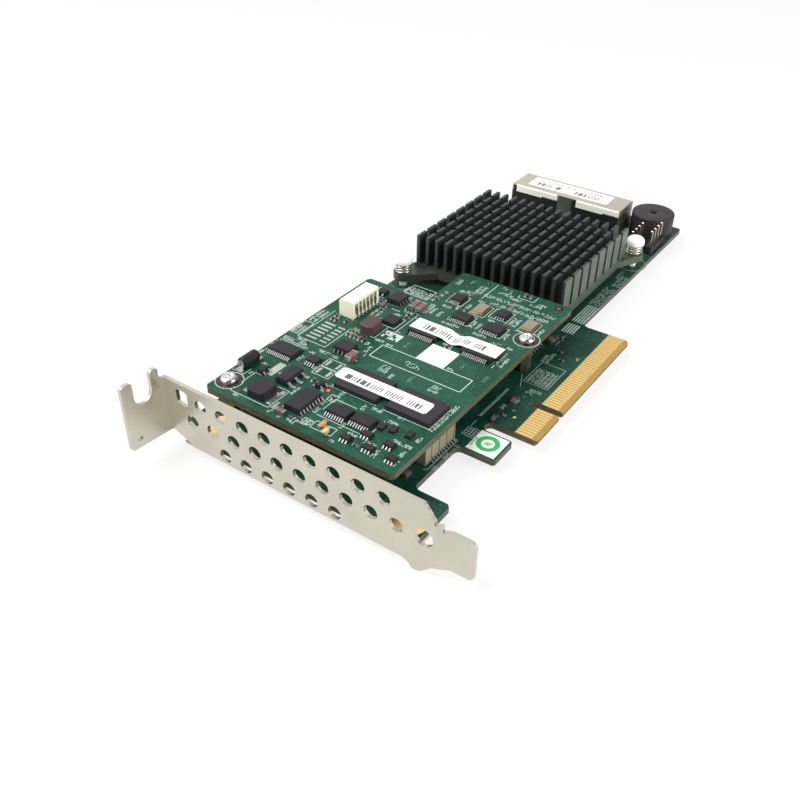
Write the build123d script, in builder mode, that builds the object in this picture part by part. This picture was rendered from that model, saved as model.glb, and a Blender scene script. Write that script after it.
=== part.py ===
from build123d import *
import os
from math import atan, cos, degrees, pi, sin

os.makedirs("parts", exist_ok=True)

# A low profile raid controller card lying flat, component side up.
# +X runs from the slot bracket to the cable ports, +Y from the edge contacts
# to the bracket's screw tab, +Z away from the component side.
# The underside of the main board is Z = 0, the bracket's outer face is X = 0
# and the free edge of the contact tongue is Y = 0.

# driving dimensions, all in millimetres
board_t = 1.57                # thickness of both boards
board_length = 167.65         # standard low profile card length
board_height = 68.9           # from the contact edge to the top edge
board_start = 1.6             # front edge of the board behind the bracket face
body_edge = 13.8              # lower edge of the board beside the contact tongue

key_x = 56.8                  # centre of the key notch
tongue_before_key = 12.15
tongue_after_key = 39.15
key_width = 1.9
key_depth = 8.25
contact_pitch = 1.0
contact_width = 0.7
contact_len = 4.3
contact_gap = 1.3             # bevelled strip below each contact
contacts_before_key = 11
contacts_after_key = 38
plating_t = 0.05

hook_from, hook_to, hook_foot = 33.1, 41.4, 4.3
front_foot_to, front_foot_y = 15.8, 4.5

sheet_t = 0.9                 # bracket metal
bracket_low, bracket_high = -0.9, 15.9
bracket_lip = -2.5            # lowest corner of the bracket
tab_y = 68.7                  # inner side of the screw tab
tab_reach = 11.6
tail_end = -9.6
tail_step = 1.4
vent_d, vent_pitch = 3.4, 6.03
vent_y, vent_z = 10.3, 12.2
ear_w, ear_reach = 8.4, 10.9
ear_ys = (8.6, 61.0)
ear_x = 7.0
ear_hole_d = 3.0

stack_gap = 7.0               # clear height between the two boards
upper_front, upper_rear = 8.3, 88.7
upper_low, upper_high = 13.9, 65.9
notch_x, notch_y = 70.5, 46.8
post_spots = ((13.2, 62.9), (68.3, 16.4))

sink_centre = (111.7, 41.3)
sink_base_len, sink_base_w, sink_base_t = 41.4, 47.0, 2.8
sink_base_z = 3.6
sink_ear_t = 2.0
pin_block_len, pin_block_w, pin_top = 40.2, 46.8, 15.0
pins_long, pins_wide = 8, 16
pin_t, cross_gap = 0.95, 1.3
sink_ear_offset = (25.3, 24.4)
sink_ear_r = 2.8
push_hole_d = 2.9

cage_front, cage_rear = 151.8, 162.2
cage_low_y, cage_high_y = 28.6, 66.9
cage_top = 9.8
cage_wall = 0.4
port_front = 151.3
port_w = 16.0
bar_w, bar_h, bar_shift = 14.5, 2.1, -0.85
mouth_depth = 4.3             # clear depth of each port in front of its slotted bar
slot_h = 1.4

# levels that follow from them
top = board_t
upper_z = top + stack_gap
deck = upper_z + board_t
board_end = board_start + board_length
tongue_from = key_x - tongue_before_key
tongue_to = key_x + tongue_after_key
sink_top = sink_base_z + sink_base_t
bar_end = cage_rear - mouth_depth
slot_z = (top + cage_top) / 2
push_spots = (
    (sink_centre[0] - sink_ear_offset[0], sink_centre[1] + sink_ear_offset[1]),
    (sink_centre[0] + sink_ear_offset[0], sink_centre[1] - sink_ear_offset[1]),
)
contact_rows = (
    (key_x - 1.5 * contact_pitch - (contacts_before_key - 1) * contact_pitch / 2, contacts_before_key),
    (key_x + 1.5 * contact_pitch + (contacts_after_key - 1) * contact_pitch / 2, contacts_after_key),
)


def block(x0, x1, y0, y1, z0, z1, mode=Mode.ADD):
    """Adds or cuts a box given by its six faces."""
    with Locations(((x0 + x1) / 2, (y0 + y1) / 2, (z0 + z1) / 2)):
        Box(abs(x1 - x0), abs(y1 - y0), abs(z1 - z0), mode=mode)


def prisms(spots, radius, z0, z1, sides=12, mode=Mode.ADD):
    """Adds or cuts upright bars with many flat sides at a list of spots."""
    with BuildSketch(Plane.XY.offset(z0)) as outline:
        with Locations(*spots):
            RegularPolygon(radius, sides)
    extrude(outline.sketch, amount=z1 - z0, mode=mode)


def crowned(spots, levels, sides=16):
    """Adds upright forms whose radius changes from level to level, such as screw heads."""
    for (r0, z0), (r1, z1) in zip(levels, levels[1:]):
        slope = degrees(atan((r0 - r1) * cos(pi / sides) / (z1 - z0)))
        with BuildSketch(Plane.XY.offset(z0)) as ring:
            with Locations(*spots):
                RegularPolygon(r0, sides)
        extrude(ring.sketch, amount=z1 - z0, taper=slope)


def clipped(w, h, c):
    """Outline of a rectangle w by h whose corners are cut off by c."""
    a, b = w / 2, h / 2
    lower = [(-a, c - b), (c - a, -b), (a - c, -b), (a, c - b)]
    return lower + [(-x, -y) for x, y in lower]


def moulded(x0, x1, y0, y1, z0, z1, draft=0.12):
    """A chip body: its upper half narrows a little, as a moulded case does."""
    mid = z0 + 0.55 * (z1 - z0)
    cx, cy, w, h = (x0 + x1) / 2, (y0 + y1) / 2, x1 - x0, y1 - y0
    block(x0, x1, y0, y1, z0, mid)
    with BuildSketch(Plane.XY.offset(mid)) as lower:
        with Locations((cx, cy)):
            Rectangle(w, h)
    with BuildSketch(Plane.XY.offset(z1)) as upper:
        with Locations((cx, cy)):
            Rectangle(w - 2 * draft, h - 2 * draft)
    loft(sections=[lower.sketch.face(), upper.sketch.face()])


def gull(body, reach, z0, level, t, side, fine):
    """Outline of one bent lead, from the chip's side down to its foot, or of a fine straight one."""
    drop = body + side * reach * 0.45
    toe = body + side * reach
    if fine:
        return [(body, level + t), (toe, z0 + t * 0.6), (toe, z0), (body, level - t)]
    return [(body, level + t), (drop, z0 + t), (toe, z0 + t), (toe, z0), (drop - side * t, z0), (body, level)]


def leads_x(x0, y0, y1, z0, count, pitch, width, reach, level, t, sides=(-1, 1), fine=False):
    """Rows of leads along X, on the two long sides y0 and y1 of a chip."""
    first = x0 - width / 2
    length = (count - 1) * pitch + width
    with BuildSketch(Plane.YZ.offset(first)) as shape:
        for side in sides:
            Polygon(*gull(y0 if side < 0 else y1, reach, z0, level, t, side, fine), align=None)
    extrude(shape.sketch, amount=length)
    gaps = [(x0 + (i + 0.5) * pitch, (y0 + y1) / 2, z0 + 2) for i in range(count - 1)]
    with Locations(*gaps):
        Box(pitch - width, y1 - y0 + 2 * reach + 1, 6, mode=Mode.SUBTRACT)


def leads_y(y0, x0, x1, z0, count, pitch, width, reach, level, t, sides=(-1, 1), fine=False):
    """Rows of leads along Y, on the two sides x0 and x1 of a chip."""
    first = y0 - width / 2
    length = (count - 1) * pitch + width
    with BuildSketch(Plane.XZ.offset(-first)) as shape:
        for side in sides:
            Polygon(*gull(x0 if side < 0 else x1, reach, z0, level, t, side, fine), align=None)
    extrude(shape.sketch, amount=-length)
    gaps = [((x0 + x1) / 2, y0 + (i + 0.5) * pitch, z0 + 2) for i in range(count - 1)]
    with Locations(*gaps):
        Box(x1 - x0 + 2 * reach + 1, pitch - width, 6, mode=Mode.SUBTRACT)


# main board: one outline with the front foot, the hook beside the contact
# tongue, the key notch and the inner corners that a router leaves round
with BuildPart() as main_board:
    with BuildSketch(Plane.XY):
        with BuildLine():
            Polyline(
                (board_start, front_foot_y), (front_foot_to, front_foot_y), (front_foot_to, body_edge),
                (hook_from, body_edge), (hook_from, hook_foot), (hook_to, hook_foot),
                (hook_to, body_edge - 1.4), (tongue_from, body_edge - 1.4), (tongue_from, 0),
                (tongue_to, 0), (tongue_to, body_edge), (board_end, body_edge),
                (board_end, board_height), (board_start, board_height), close=True,
            )
        make_face()
        with Locations((key_x, key_depth / 2 - 1)):
            SlotOverall(key_depth + 2, key_width, rotation=90, mode=Mode.SUBTRACT)
    extrude(amount=board_t)
    # inner corners stay round as the router leaves them, outer ones are broken
    inner = [
        (front_foot_to, body_edge, 1.6), (hook_from, body_edge, 1.6), (tongue_to, body_edge, 2.3),
        (hook_to, body_edge - 1.4, 1.5), (tongue_from, body_edge - 1.4, 1.5),
    ]
    outer = [
        (front_foot_to, front_foot_y, 0.7), (hook_from, hook_foot, 0.5), (hook_to, hook_foot, 0.5),
        (tongue_from, 0, 0.6), (tongue_to, 0, 0.6), (board_end, body_edge, 0.5),
        (board_end, board_height, 0.5),
    ]
    for cx, cy, r in inner + outer:
        uprights = main_board.edges().filter_by(Axis.Z)
        corner = uprights.sort_by(lambda e: abs(e.center().X - cx) + abs(e.center().Y - cy))[0]
        if (cx, cy, r) in inner:
            fillet(corner, r)
        else:
            chamfer(corner, r)
    # bevel along the free edge of the contact tongue, both sides
    bevel = main_board.edges().filter_by(Axis.X).filter_by(lambda e: abs(e.center().Y) < 0.01)
    chamfer(bevel, 0.45)
    # holes for the bracket screws, the push pins and the two posts
    prisms([(ear_x, y) for y in ear_ys], ear_hole_d / 2, -1, top + 1, mode=Mode.SUBTRACT)
    prisms(push_spots, push_hole_d / 2 + 0.15, -1, top + 1, mode=Mode.SUBTRACT)
    prisms(post_spots, 1.3, -1, top + 1, mode=Mode.SUBTRACT)
main_board.part.label = "main_board"
export_step(main_board.part, "parts/main_board.step")

# gold edge contacts, plated on both faces of the tongue
with BuildPart() as edge_contacts:
    for centre, count in contact_rows:
        for z in (-plating_t / 2, top + plating_t / 2):
            with Locations((centre, contact_gap + contact_len / 2, z)):
                with GridLocations(contact_pitch, 1, count, 1):
                    Box(contact_width, contact_len, plating_t)
edge_contacts.part.label = "edge_contacts"
export_step(edge_contacts.part, "parts/edge_contacts.step")

# plated rings round the two bracket holes
with BuildPart() as ground_pads:
    with BuildSketch(Plane.XY.offset(top)):
        with Locations(*[(ear_x, y) for y in ear_ys]):
            RegularPolygon(3.9, 24)
            RegularPolygon(ear_hole_d / 2, 12, mode=Mode.SUBTRACT)
    extrude(amount=plating_t)
ground_pads.part.label = "ground_pads"
export_step(ground_pads.part, "parts/ground_pads.step")

# slot bracket: one folded sheet with staggered vents, two ears under the
# board, a slotted screw tab at one end and a stepped tongue at the other
with BuildPart() as bracket:
    with BuildSketch(Plane.YZ):
        with BuildLine():
            Polyline(
                (tab_y + sheet_t, 1.9), (67.8, 1.9), (62.6, -0.2), (59.2, -0.25), (58.2, bracket_low),
                (5.0, bracket_low), (4.2, -1.3), (3.4, -2.3), (2.6, bracket_lip), (1.2, -1.9),
                (0.0, -0.7), (-1.4, 0.6), (-1.4, 12.6), (1.2, bracket_high),
                (tab_y + sheet_t, bracket_high), close=True,
            )
        make_face()
        # three staggered rows of vents
        rows = (
            [(vent_y + vent_pitch * i, vent_z) for i in range(9)]
            + [(vent_y + vent_pitch * (i - 0.5), vent_z - vent_pitch * 0.866) for i in range(10)]
            + [(vent_y + vent_pitch * i, vent_z - vent_pitch * 1.732) for i in range(2, 8)]
        )
        with Locations(*rows):
            RegularPolygon(vent_d / 2, 12, mode=Mode.SUBTRACT)
        with Locations((0.9, 7.3)):
            RegularPolygon(2.2, 20, mode=Mode.SUBTRACT)
        with Locations((64.0, 12.4)):
            Polygon(*clipped(3.3, 3.9, 0.5), mode=Mode.SUBTRACT)
    extrude(amount=sheet_t)
    # screw tab, folded outward, with its open slot
    with BuildSketch(Plane.XZ.offset(-tab_y)):
        with BuildLine():
            Polyline(
                (sheet_t, 1.9), (-tab_reach, 2.8), (-tab_reach, 19.5), (-1.5, 19.5), (-1.5, 17.2),
                (-0.6, 16.2), (sheet_t, bracket_high), close=True,
            )
        make_face()
        with Locations((-6.2, 18.6)):
            SlotOverall(11.4, 4.9, rotation=90, mode=Mode.SUBTRACT)
    extrude(amount=-sheet_t)
    tips = bracket.edges().filter_by(Axis.Y).filter_by(lambda e: e.center().X < -1 and e.center().Z > 19)
    fillet(tips, 0.9)
    low_tip = bracket.edges().filter_by(Axis.Y).filter_by(lambda e: e.center().X < -11 and e.center().Z < 4)
    chamfer(low_tip, 0.5)
    # round dimple pressed into the tab
    with BuildSketch(Plane.XZ.offset(-tab_y)):
        with Locations((-8.9, 4.9)):
            RegularPolygon(0.6, 12)
    extrude(amount=-0.35, mode=Mode.SUBTRACT)
    # stepped tongue that drops behind the case slot
    with BuildSketch(Plane.XY.offset(0.6)):
        with BuildLine():
            Polyline(
                (0, -1.3), (sheet_t, -1.3), (sheet_t, -1.6), (sheet_t + tail_step, -4.4),
                (sheet_t + tail_step, tail_end), (tail_step, tail_end), (tail_step, -4.6), (0, -1.8),
                close=True,
            )
        make_face()
    extrude(amount=9.7)
    # shoulder between the slanted edge and the tongue
    with BuildSketch(Plane.XY.offset(10.2)):
        with BuildLine():
            Polyline((0, -1.3), (sheet_t, -1.3), (sheet_t, -1.7), (sheet_t + 0.55, -2.8),
                     (0.55, -3.0), (0, -1.8), close=True)
        make_face()
    extrude(amount=1.6)
    tail_tips = bracket.edges().filter_by(Axis.X).filter_by(lambda e: e.center().Y < tail_end + 0.1)
    chamfer(tail_tips, 0.9)
    # ears folded under the board, each with a tapped hole
    for y in ear_ys:
        block(0, ear_reach, y - ear_w / 2, y + ear_w / 2, bracket_low, 0)
    prisms([(ear_x, y) for y in ear_ys], ear_hole_d / 2, bracket_low - 1, 1, mode=Mode.SUBTRACT)
    folds = bracket.edges().filter_by(Axis.Y).filter_by(
        lambda e: abs(e.center().X) < 0.01 and abs(e.center().Z - bracket_low) < 0.01)
    fillet(folds, 0.5)
    ear_tips = bracket.edges().filter_by(Axis.Z).filter_by(lambda e: e.center().X > ear_reach - 0.1)
    chamfer(ear_tips, 1.0)
bracket.part.label = "bracket"
export_step(bracket.part, "parts/bracket.step")

# screws that hold the board on the bracket's ears
with BuildPart() as bracket_screws:
    spots = [(ear_x, y) for y in ear_ys]
    prisms(spots, ear_hole_d / 2 - 0.02, bracket_low, top + 0.1)
    crowned(spots, ((2.1, bracket_low - 1.5), (2.6, bracket_low - 0.9), (2.6, bracket_low)), 12)
    for x, y in spots:
        block(x - 1.5, x + 1.5, y - 0.3, y + 0.3, bracket_low - 1.6, bracket_low - 0.7, mode=Mode.SUBTRACT)
        block(x - 0.3, x + 0.3, y - 1.5, y + 1.5, bracket_low - 1.6, bracket_low - 0.7, mode=Mode.SUBTRACT)
bracket_screws.part.label = "bracket_screws"
export_step(bracket_screws.part, "parts/bracket_screws.step")

# controller chip under the heat sink: a carrier with a raised lid
sx, sy = sink_centre
carrier_t, lid_t = 1.0, 0.8
with BuildPart() as controller_chip:
    with BuildSketch(Plane.XY.offset(top)):
        with Locations((sx, sy)):
            Rectangle(31, 31)
    extrude(amount=carrier_t)
    with BuildSketch(Plane.XY.offset(top + carrier_t)):
        with Locations((sx, sy)):
            Polygon(*clipped(25, 25, 1.0))
    extrude(amount=lid_t)
controller_chip.part.label = "controller_chip"
export_step(controller_chip.part, "parts/controller_chip.step")

# soft pad that carries heat from the lid to the heat sink
with BuildPart() as thermal_pad:
    with BuildSketch(Plane.XY.offset(top + carrier_t + lid_t)):
        with Locations((sx, sy)):
            Rectangle(22, 22)
    extrude(amount=sink_base_z - top - carrier_t - lid_t)
thermal_pad.part.label = "thermal_pad"
export_step(thermal_pad.part, "parts/thermal_pad.step")

# heat sink: a base with two slanted ears, and a block sawn both ways into pins
with BuildPart() as heatsink:
    with BuildSketch(Plane.XY.offset(sink_base_z)):
        with Locations((sx, sy)):
            Rectangle(sink_base_len, sink_base_w)
    extrude(amount=sink_base_t)
    for (px, py), side in zip(push_spots, (1, -1)):
        with BuildSketch(Plane.XY.offset(sink_base_z)):
            with Locations((px, py)):
                Circle(sink_ear_r)
            cx = sx - side * sink_base_len / 2
            cy = sy + side * sink_base_w / 2
            with Locations((cx + side * 4.5, cy - side * 1.2), (cx + side * 1.0, cy - side * 7.6)):
                Circle(1.0)
            make_hull()
        extrude(amount=sink_ear_t)
    with BuildSketch(Plane.XY.offset(sink_top)):
        with Locations((sx, sy)):
            Rectangle(pin_block_len, pin_block_w)
    extrude(amount=pin_top - sink_top)
    # long saw cuts leave the thin blades
    blade_pitch = (pin_block_w - pin_t) / (pins_wide - 1)
    cuts = [(sx, sy - pin_block_w / 2 + pin_t + (blade_pitch - pin_t) / 2 + i * blade_pitch,
             (sink_top + pin_top) / 2 + 0.5) for i in range(pins_wide - 1)]
    with Locations(*cuts):
        Box(pin_block_len + 2, blade_pitch - pin_t, pin_top - sink_top + 1, mode=Mode.SUBTRACT)
    # cross cuts part the blades into pins
    cell = (pin_block_len - (pins_long - 1) * cross_gap) / pins_long
    crosses = [(sx - pin_block_len / 2 + (i + 1) * cell + (i + 0.5) * cross_gap, sy,
                (sink_top + pin_top) / 2 + 0.5) for i in range(pins_long - 1)]
    with Locations(*crosses):
        Box(cross_gap, pin_block_w + 2, pin_top - sink_top + 1, mode=Mode.SUBTRACT)
    prisms(push_spots, push_hole_d / 2 + 0.1, sink_base_z - 1, sink_top + 1, mode=Mode.SUBTRACT)
heatsink.part.label = "heatsink"
export_step(heatsink.part, "parts/heatsink.step")

# push pins: cap, split shank and the barb that snaps under the board
cap_low, cap_high = sink_top + 1.7, sink_top + 4.1
with BuildPart() as push_pins:
    crowned(push_spots, ((0.7, bracket_lip), (1.75, -0.7), (1.75, -0.02)), 12)
    prisms(push_spots, 1.2, -0.1, cap_low + 0.1)
    crowned(push_spots, ((2.6, cap_low), (2.6, cap_high - 0.8), (1.8, cap_high)), 18)
    for x, y in push_spots:
        block(x - 0.25, x + 0.25, y - 3, y + 3, bracket_lip - 1, top - 0.4, mode=Mode.SUBTRACT)
push_pins.part.label = "push_pins"
export_step(push_pins.part, "parts/push_pins.step")

# wire springs between the caps and the ears, each turn in straight runs
coil_r, wire_w, turns, runs = 2.15, 0.46, 3, 9
coil_low = sink_base_z + sink_ear_t + wire_w / 2 + 0.03
coil_rise = cap_low - wire_w / 2 - 0.03 - coil_low
with BuildPart() as pin_springs:
    for x, y in push_spots:
        with BuildLine(mode=Mode.PRIVATE) as coil:
            Polyline(*[
                (x + coil_r * cos(2 * pi * i / runs), y + coil_r * sin(2 * pi * i / runs),
                 coil_low + coil_rise * i / (turns * runs))
                for i in range(turns * runs + 1)
            ])
        with BuildSketch(Plane(coil.line @ 0, z_dir=coil.line % 0), mode=Mode.PRIVATE) as wire:
            Rectangle(wire_w, wire_w)
        sweep(sections=wire.sketch, path=coil.line, transition=Transition.RIGHT)
pin_springs.part.label = "pin_springs"
export_step(pin_springs.part, "parts/pin_springs.step")

# upper board with the corner cut away for the heat sink's ear
with BuildPart() as cache_board:
    with BuildSketch(Plane.XY.offset(upper_z)):
        with BuildLine():
            Polyline(
                (upper_front, upper_low), (upper_rear, upper_low), (upper_rear, notch_y),
                (notch_x, notch_y), (notch_x, upper_high), (upper_front, upper_high), close=True,
            )
        make_face()
    extrude(amount=board_t)
    corners = cache_board.edges().filter_by(Axis.Z)
    outer = corners.filter_by(lambda e: abs(e.center().X - notch_x) > 1 or e.center().Y > notch_y + 1)
    chamfer(outer, 0.8)
    root = cache_board.edges().filter_by(Axis.Z).sort_by(
        lambda e: abs(e.center().X - notch_x) + abs(e.center().Y - notch_y))
    fillet(root[0], 1.0)
    prisms(post_spots, 1.3, upper_z - 1, deck + 1, mode=Mode.SUBTRACT)
cache_board.part.label = "cache_board"
export_step(cache_board.part, "parts/cache_board.step")

# hexagonal posts between the boards
with BuildPart() as board_posts:
    with BuildSketch(Plane.XY.offset(top)):
        with Locations(*post_spots):
            RegularPolygon(1.75, 6)
            RegularPolygon(1.1, 12, mode=Mode.SUBTRACT)
    extrude(amount=stack_gap)
board_posts.part.label = "board_posts"
export_step(board_posts.part, "parts/board_posts.step")

# domed screws on top of the upper board and flat ones under the main board
with BuildPart() as post_screws:
    prisms(post_spots, 1.08, deck - 3.6, deck + 0.1)
    crowned(post_spots, ((2.05, deck), (2.05, deck + 0.5), (1.75, deck + 1.1), (1.0, deck + 1.5)))
    for x, y in post_spots:
        block(x - 0.9, x + 0.9, y - 0.2, y + 0.2, deck + 0.8, deck + 2, mode=Mode.SUBTRACT)
        block(x - 0.2, x + 0.2, y - 0.9, y + 0.9, deck + 0.8, deck + 2, mode=Mode.SUBTRACT)
post_screws.part.label = "post_screws"
export_step(post_screws.part, "parts/post_screws.step")

with BuildPart() as lower_screws:
    prisms(post_spots, 1.08, -0.1, top + 2.4)
    crowned(post_spots, ((1.6, -1.2), (2.1, -0.7), (2.1, 0)), 12)
    for x, y in post_spots:
        block(x - 1.2, x + 1.2, y - 0.28, y + 0.28, -2, -0.6, mode=Mode.SUBTRACT)
        block(x - 0.28, x + 0.28, y - 1.2, y + 1.2, -2, -0.6, mode=Mode.SUBTRACT)
lower_screws.part.label = "lower_screws"
export_step(lower_screws.part, "parts/lower_screws.step")

# board to board connector: lower half is a trough, upper half plugs into it
link_x0, link_x1, link_y0, link_y1 = 23.0, 35.8, 15.6, 21.8
link_split = top + 4.2
with BuildPart() as link_socket:
    with BuildSketch(Plane.XY.offset(top)):
        with Locations(((link_x0 + link_x1) / 2, (link_y0 + link_y1) / 2)):
            Rectangle(link_x1 - link_x0, link_y1 - link_y0)
    extrude(amount=link_split - top)
    rib_edges = link_socket.edges().filter_by(Axis.Z).filter_by(lambda e: e.center().X > link_x1 - 0.1)
    chamfer(rib_edges, 0.9)
    block(link_x0 + 1.5, link_x1 - 1.5, link_y0 + 1.3, link_y1 - 1.3, top + 1.4, link_split + 1,
          mode=Mode.SUBTRACT)
    grooves = [(link_x0 + 2.3 + 3.0 * i, link_y0, (top + link_split) / 2) for i in range(4)]
    with Locations(*grooves):
        Box(0.4, 0.3, link_split - top + 1, mode=Mode.SUBTRACT)
link_socket.part.label = "link_socket"
export_step(link_socket.part, "parts/link_socket.step")

with BuildPart() as link_plug:
    block(link_x0 + 0.2, link_x1 - 0.2, link_y0 + 0.25, link_y1 - 0.25, link_split, upper_z)
    block(link_x0 + 1.7, link_x1 - 1.7, link_y0 + 1.5, link_y1 - 1.5, top + 1.6, link_split)
    rib_edges = link_plug.edges().filter_by(Axis.Z).filter_by(
        lambda e: e.center().X > link_x1 - 0.3 and e.center().Z > link_split)
    chamfer(rib_edges, 1.0)
link_plug.part.label = "link_plug"
export_step(link_plug.part, "parts/link_plug.step")

with BuildPart() as link_leads:
    leads_x(link_x0 + 1.9, link_y0, link_y1, top, 10, 1.0, 0.4, 0.9, top + 0.5, 0.15, fine=True)
link_leads.part.label = "link_leads"
export_step(link_leads.part, "parts/link_leads.step")

# shrouded cable header with a row of windows towards the contact edge
plug_x0, plug_x1, plug_y0, plug_y1, plug_h = 50.7, 61.4, 56.2, 60.6, 4.7
plug_wall, ways, way_pitch = 0.8, 6, 1.517
with BuildPart() as cable_header:
    block(plug_x0, plug_x1, plug_y0, plug_y1, deck, deck + plug_h)
    block(plug_x0 + plug_wall, plug_x1 - plug_wall, plug_y0 - 1, plug_y1 - 0.9, deck + 0.9,
          deck + plug_h - 0.8, mode=Mode.SUBTRACT)
    walls = [(plug_x0 + plug_wall + way_pitch * (i + 1), plug_y0 + 1.6, deck + plug_h / 2)
             for i in range(ways - 1)]
    with Locations(*walls):
        Box(0.4, 3.2, plug_h - 1)
    rim = cable_header.edges().filter_by(Axis.X).filter_by(
        lambda e: e.center().Z > deck + plug_h - 0.1 and e.center().Y > plug_y1 - 0.1)
    chamfer(rim, 0.4)
cable_header.part.label = "cable_header"
export_step(cable_header.part, "parts/cable_header.step")

with BuildPart() as header_contacts:
    for i in range(ways):
        x = plug_x0 + plug_wall + way_pitch * (i + 0.5)
        block(x - 0.25, x + 0.25, plug_y0 + 0.3, plug_y1 - 0.9, deck + 2.0, deck + 2.5)
        block(x - 0.25, x + 0.25, plug_y0 - 1.1, plug_y0 - 0.3, deck, deck + 0.35)
        block(x - 0.25, x + 0.25, plug_y0 - 0.3, plug_y0 + 0.3, deck, deck + 2.5)
    block(plug_x0 - 1, plug_x1 + 1, plug_y0, plug_y1, deck - 1, deck + 0.9, mode=Mode.SUBTRACT)
header_contacts.part.label = "header_contacts"
export_step(header_contacts.part, "parts/header_contacts.step")

# two flash chips side by side, and the two wide memories behind them
flash_h = 1.2
with BuildPart() as flash_chips:
    for y0 in (16.5, 30.6):
        moulded(25.0, 33.5, y0, y0 + 11.5, deck, deck + flash_h, 0.08)
flash_chips.part.label = "flash_chips"
export_step(flash_chips.part, "parts/flash_chips.step")

dram_x0, dram_x1, dram_len, dram_h = 54.0, 59.0, 8.2, 1.1
dram_ys = (18.4, 33.7)
with BuildPart() as dram_chips:
    for y0 in dram_ys:
        moulded(dram_x0, dram_x1, y0, y0 + dram_len, deck + 0.1, deck + dram_h, 0.1)
dram_chips.part.label = "dram_chips"
export_step(dram_chips.part, "parts/dram_chips.step")

with BuildPart() as dram_leads:
    for y0 in dram_ys:
        leads_y(y0 + 1.0, dram_x0, dram_x1, deck, 13, 0.52, 0.24, 1.05, deck + 0.5, 0.12, fine=True)
dram_leads.part.label = "dram_leads"
export_step(dram_leads.part, "parts/dram_leads.step")

# paper labels: a flat one across the flash chips, and a longer one that
# lies on both memories and sags to the board between them
paper = 0.1
with BuildPart() as flat_label:
    with BuildSketch(Plane.XY.offset(deck + flash_h)):
        with Locations((29.4, 31.4)):
            Polygon(*clipped(4.2, 24.8, 0.5))
    extrude(amount=paper)
flat_label.part.label = "flat_label"
export_step(flat_label.part, "parts/flat_label.step")

over = deck + dram_h
sag = 0.9                     # how far the label hangs between the memories
y_in, y_out = dram_ys[0] + dram_len + 0.3, dram_ys[1] - 0.3
sag_runs = 10
hang = [
    (y_in + (y_out - y_in) * i / sag_runs, over - sag * (1 - cos(2 * pi * i / sag_runs)) / 2)
    for i in range(sag_runs + 1)
]
label_low, label_high = 17.7, 42.2
under = [(label_low, over)] + hang + [(label_high, over)]
with BuildPart() as sagging_label:
    with BuildSketch(Plane.YZ.offset(55.2)):
        Polygon(*(under + [(y, z + paper) for y, z in reversed(under)]), align=None)
    extrude(amount=4.7)
sagging_label.part.label = "sagging_label"
export_step(sagging_label.part, "parts/sagging_label.step")

with BuildPart() as square_label:
    with BuildSketch(Plane.XY.offset(deck)):
        with Locations((49.5, 30.0)):
            Rectangle(7.35, 7.6)
    extrude(amount=paper)
square_label.part.label = "square_label"
export_step(square_label.part, "parts/square_label.step")

with BuildPart() as hook_label:
    with BuildSketch(Plane.XY.offset(top)):
        with Locations(((hook_from + hook_to) / 2, 8.4)):
            Rectangle(7.4, 7.2)
    extrude(amount=paper)
hook_label.part.label = "hook_label"
export_step(hook_label.part, "parts/hook_label.step")

# chips with bent leads on the upper board, by the rows that their leads make:
# x0, x1, y0, y1, height, leads a side, pitch, lead width
rows_along_x = [
    (12.3, 20.1, 41.4, 45.8, 1.6, 8, 1.0, 0.42),
    (62.6, 67.2, 50.4, 54.3, 1.6, 4, 1.2, 0.42),
    (22.4, 24.8, 44.0, 45.4, 1.1, 2, 1.6, 0.45),
    (19.0, 21.8, 58.2, 59.8, 1.1, 2, 1.7, 0.45),
]
rows_along_y = [
    (27.5, 31.5, 56.8, 64.1, 1.1, 13, 0.53, 0.24),
    (28.9, 31.3, 50.6, 53.6, 1.1, 4, 0.72, 0.3),
    (36.6, 40.5, 46.9, 51.5, 1.6, 4, 1.2, 0.42),
    (16.4, 19.7, 32.3, 37.6, 1.1, 8, 0.66, 0.28),
    (16.9, 20.1, 26.2, 31.4, 1.1, 8, 0.66, 0.28),
    (65.4, 69.2, 32.0, 36.7, 1.1, 7, 0.6, 0.26),
    (65.2, 69.2, 22.6, 27.2, 1.1, 7, 0.6, 0.26),
    (64.9, 67.1, 56.8, 59.2, 1.0, 2, 1.4, 0.42),
    (73.0, 76.6, 38.4, 41.6, 1.1, 5, 0.6, 0.26),
    (72.8, 76.2, 25.0, 28.0, 1.1, 4, 0.7, 0.28),
]
with BuildPart() as chip_bodies:
    for x0, x1, y0, y1, h, *_ in rows_along_x + rows_along_y:
        moulded(x0, x1, y0, y1, deck + 0.1, deck + h)
    # a leadless chip beside the ferrite choke
    moulded(53.8, 57.6, 46.0, 49.8, deck, deck + 0.9, 0.05)
chip_bodies.part.label = "chip_bodies"
export_step(chip_bodies.part, "parts/chip_bodies.step")

with BuildPart() as chip_leads_long:
    for x0, x1, y0, y1, h, n, pitch, w in rows_along_x:
        leads_x((x0 + x1 - (n - 1) * pitch) / 2, y0, y1, deck, n, pitch, w, 0.95, deck + 0.45 * h, 0.18)
chip_leads_long.part.label = "chip_leads_long"
export_step(chip_leads_long.part, "parts/chip_leads_long.step")

with BuildPart() as chip_leads_cross:
    for x0, x1, y0, y1, h, n, pitch, w in rows_along_y:
        leads_y((y0 + y1 - (n - 1) * pitch) / 2, x0, x1, deck, n, pitch, w, 0.95, deck + 0.45 * h, 0.13,
                fine=w < 0.35)
chip_leads_cross.part.label = "chip_leads_cross"
export_step(chip_leads_cross.part, "parts/chip_leads_cross.step")

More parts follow.
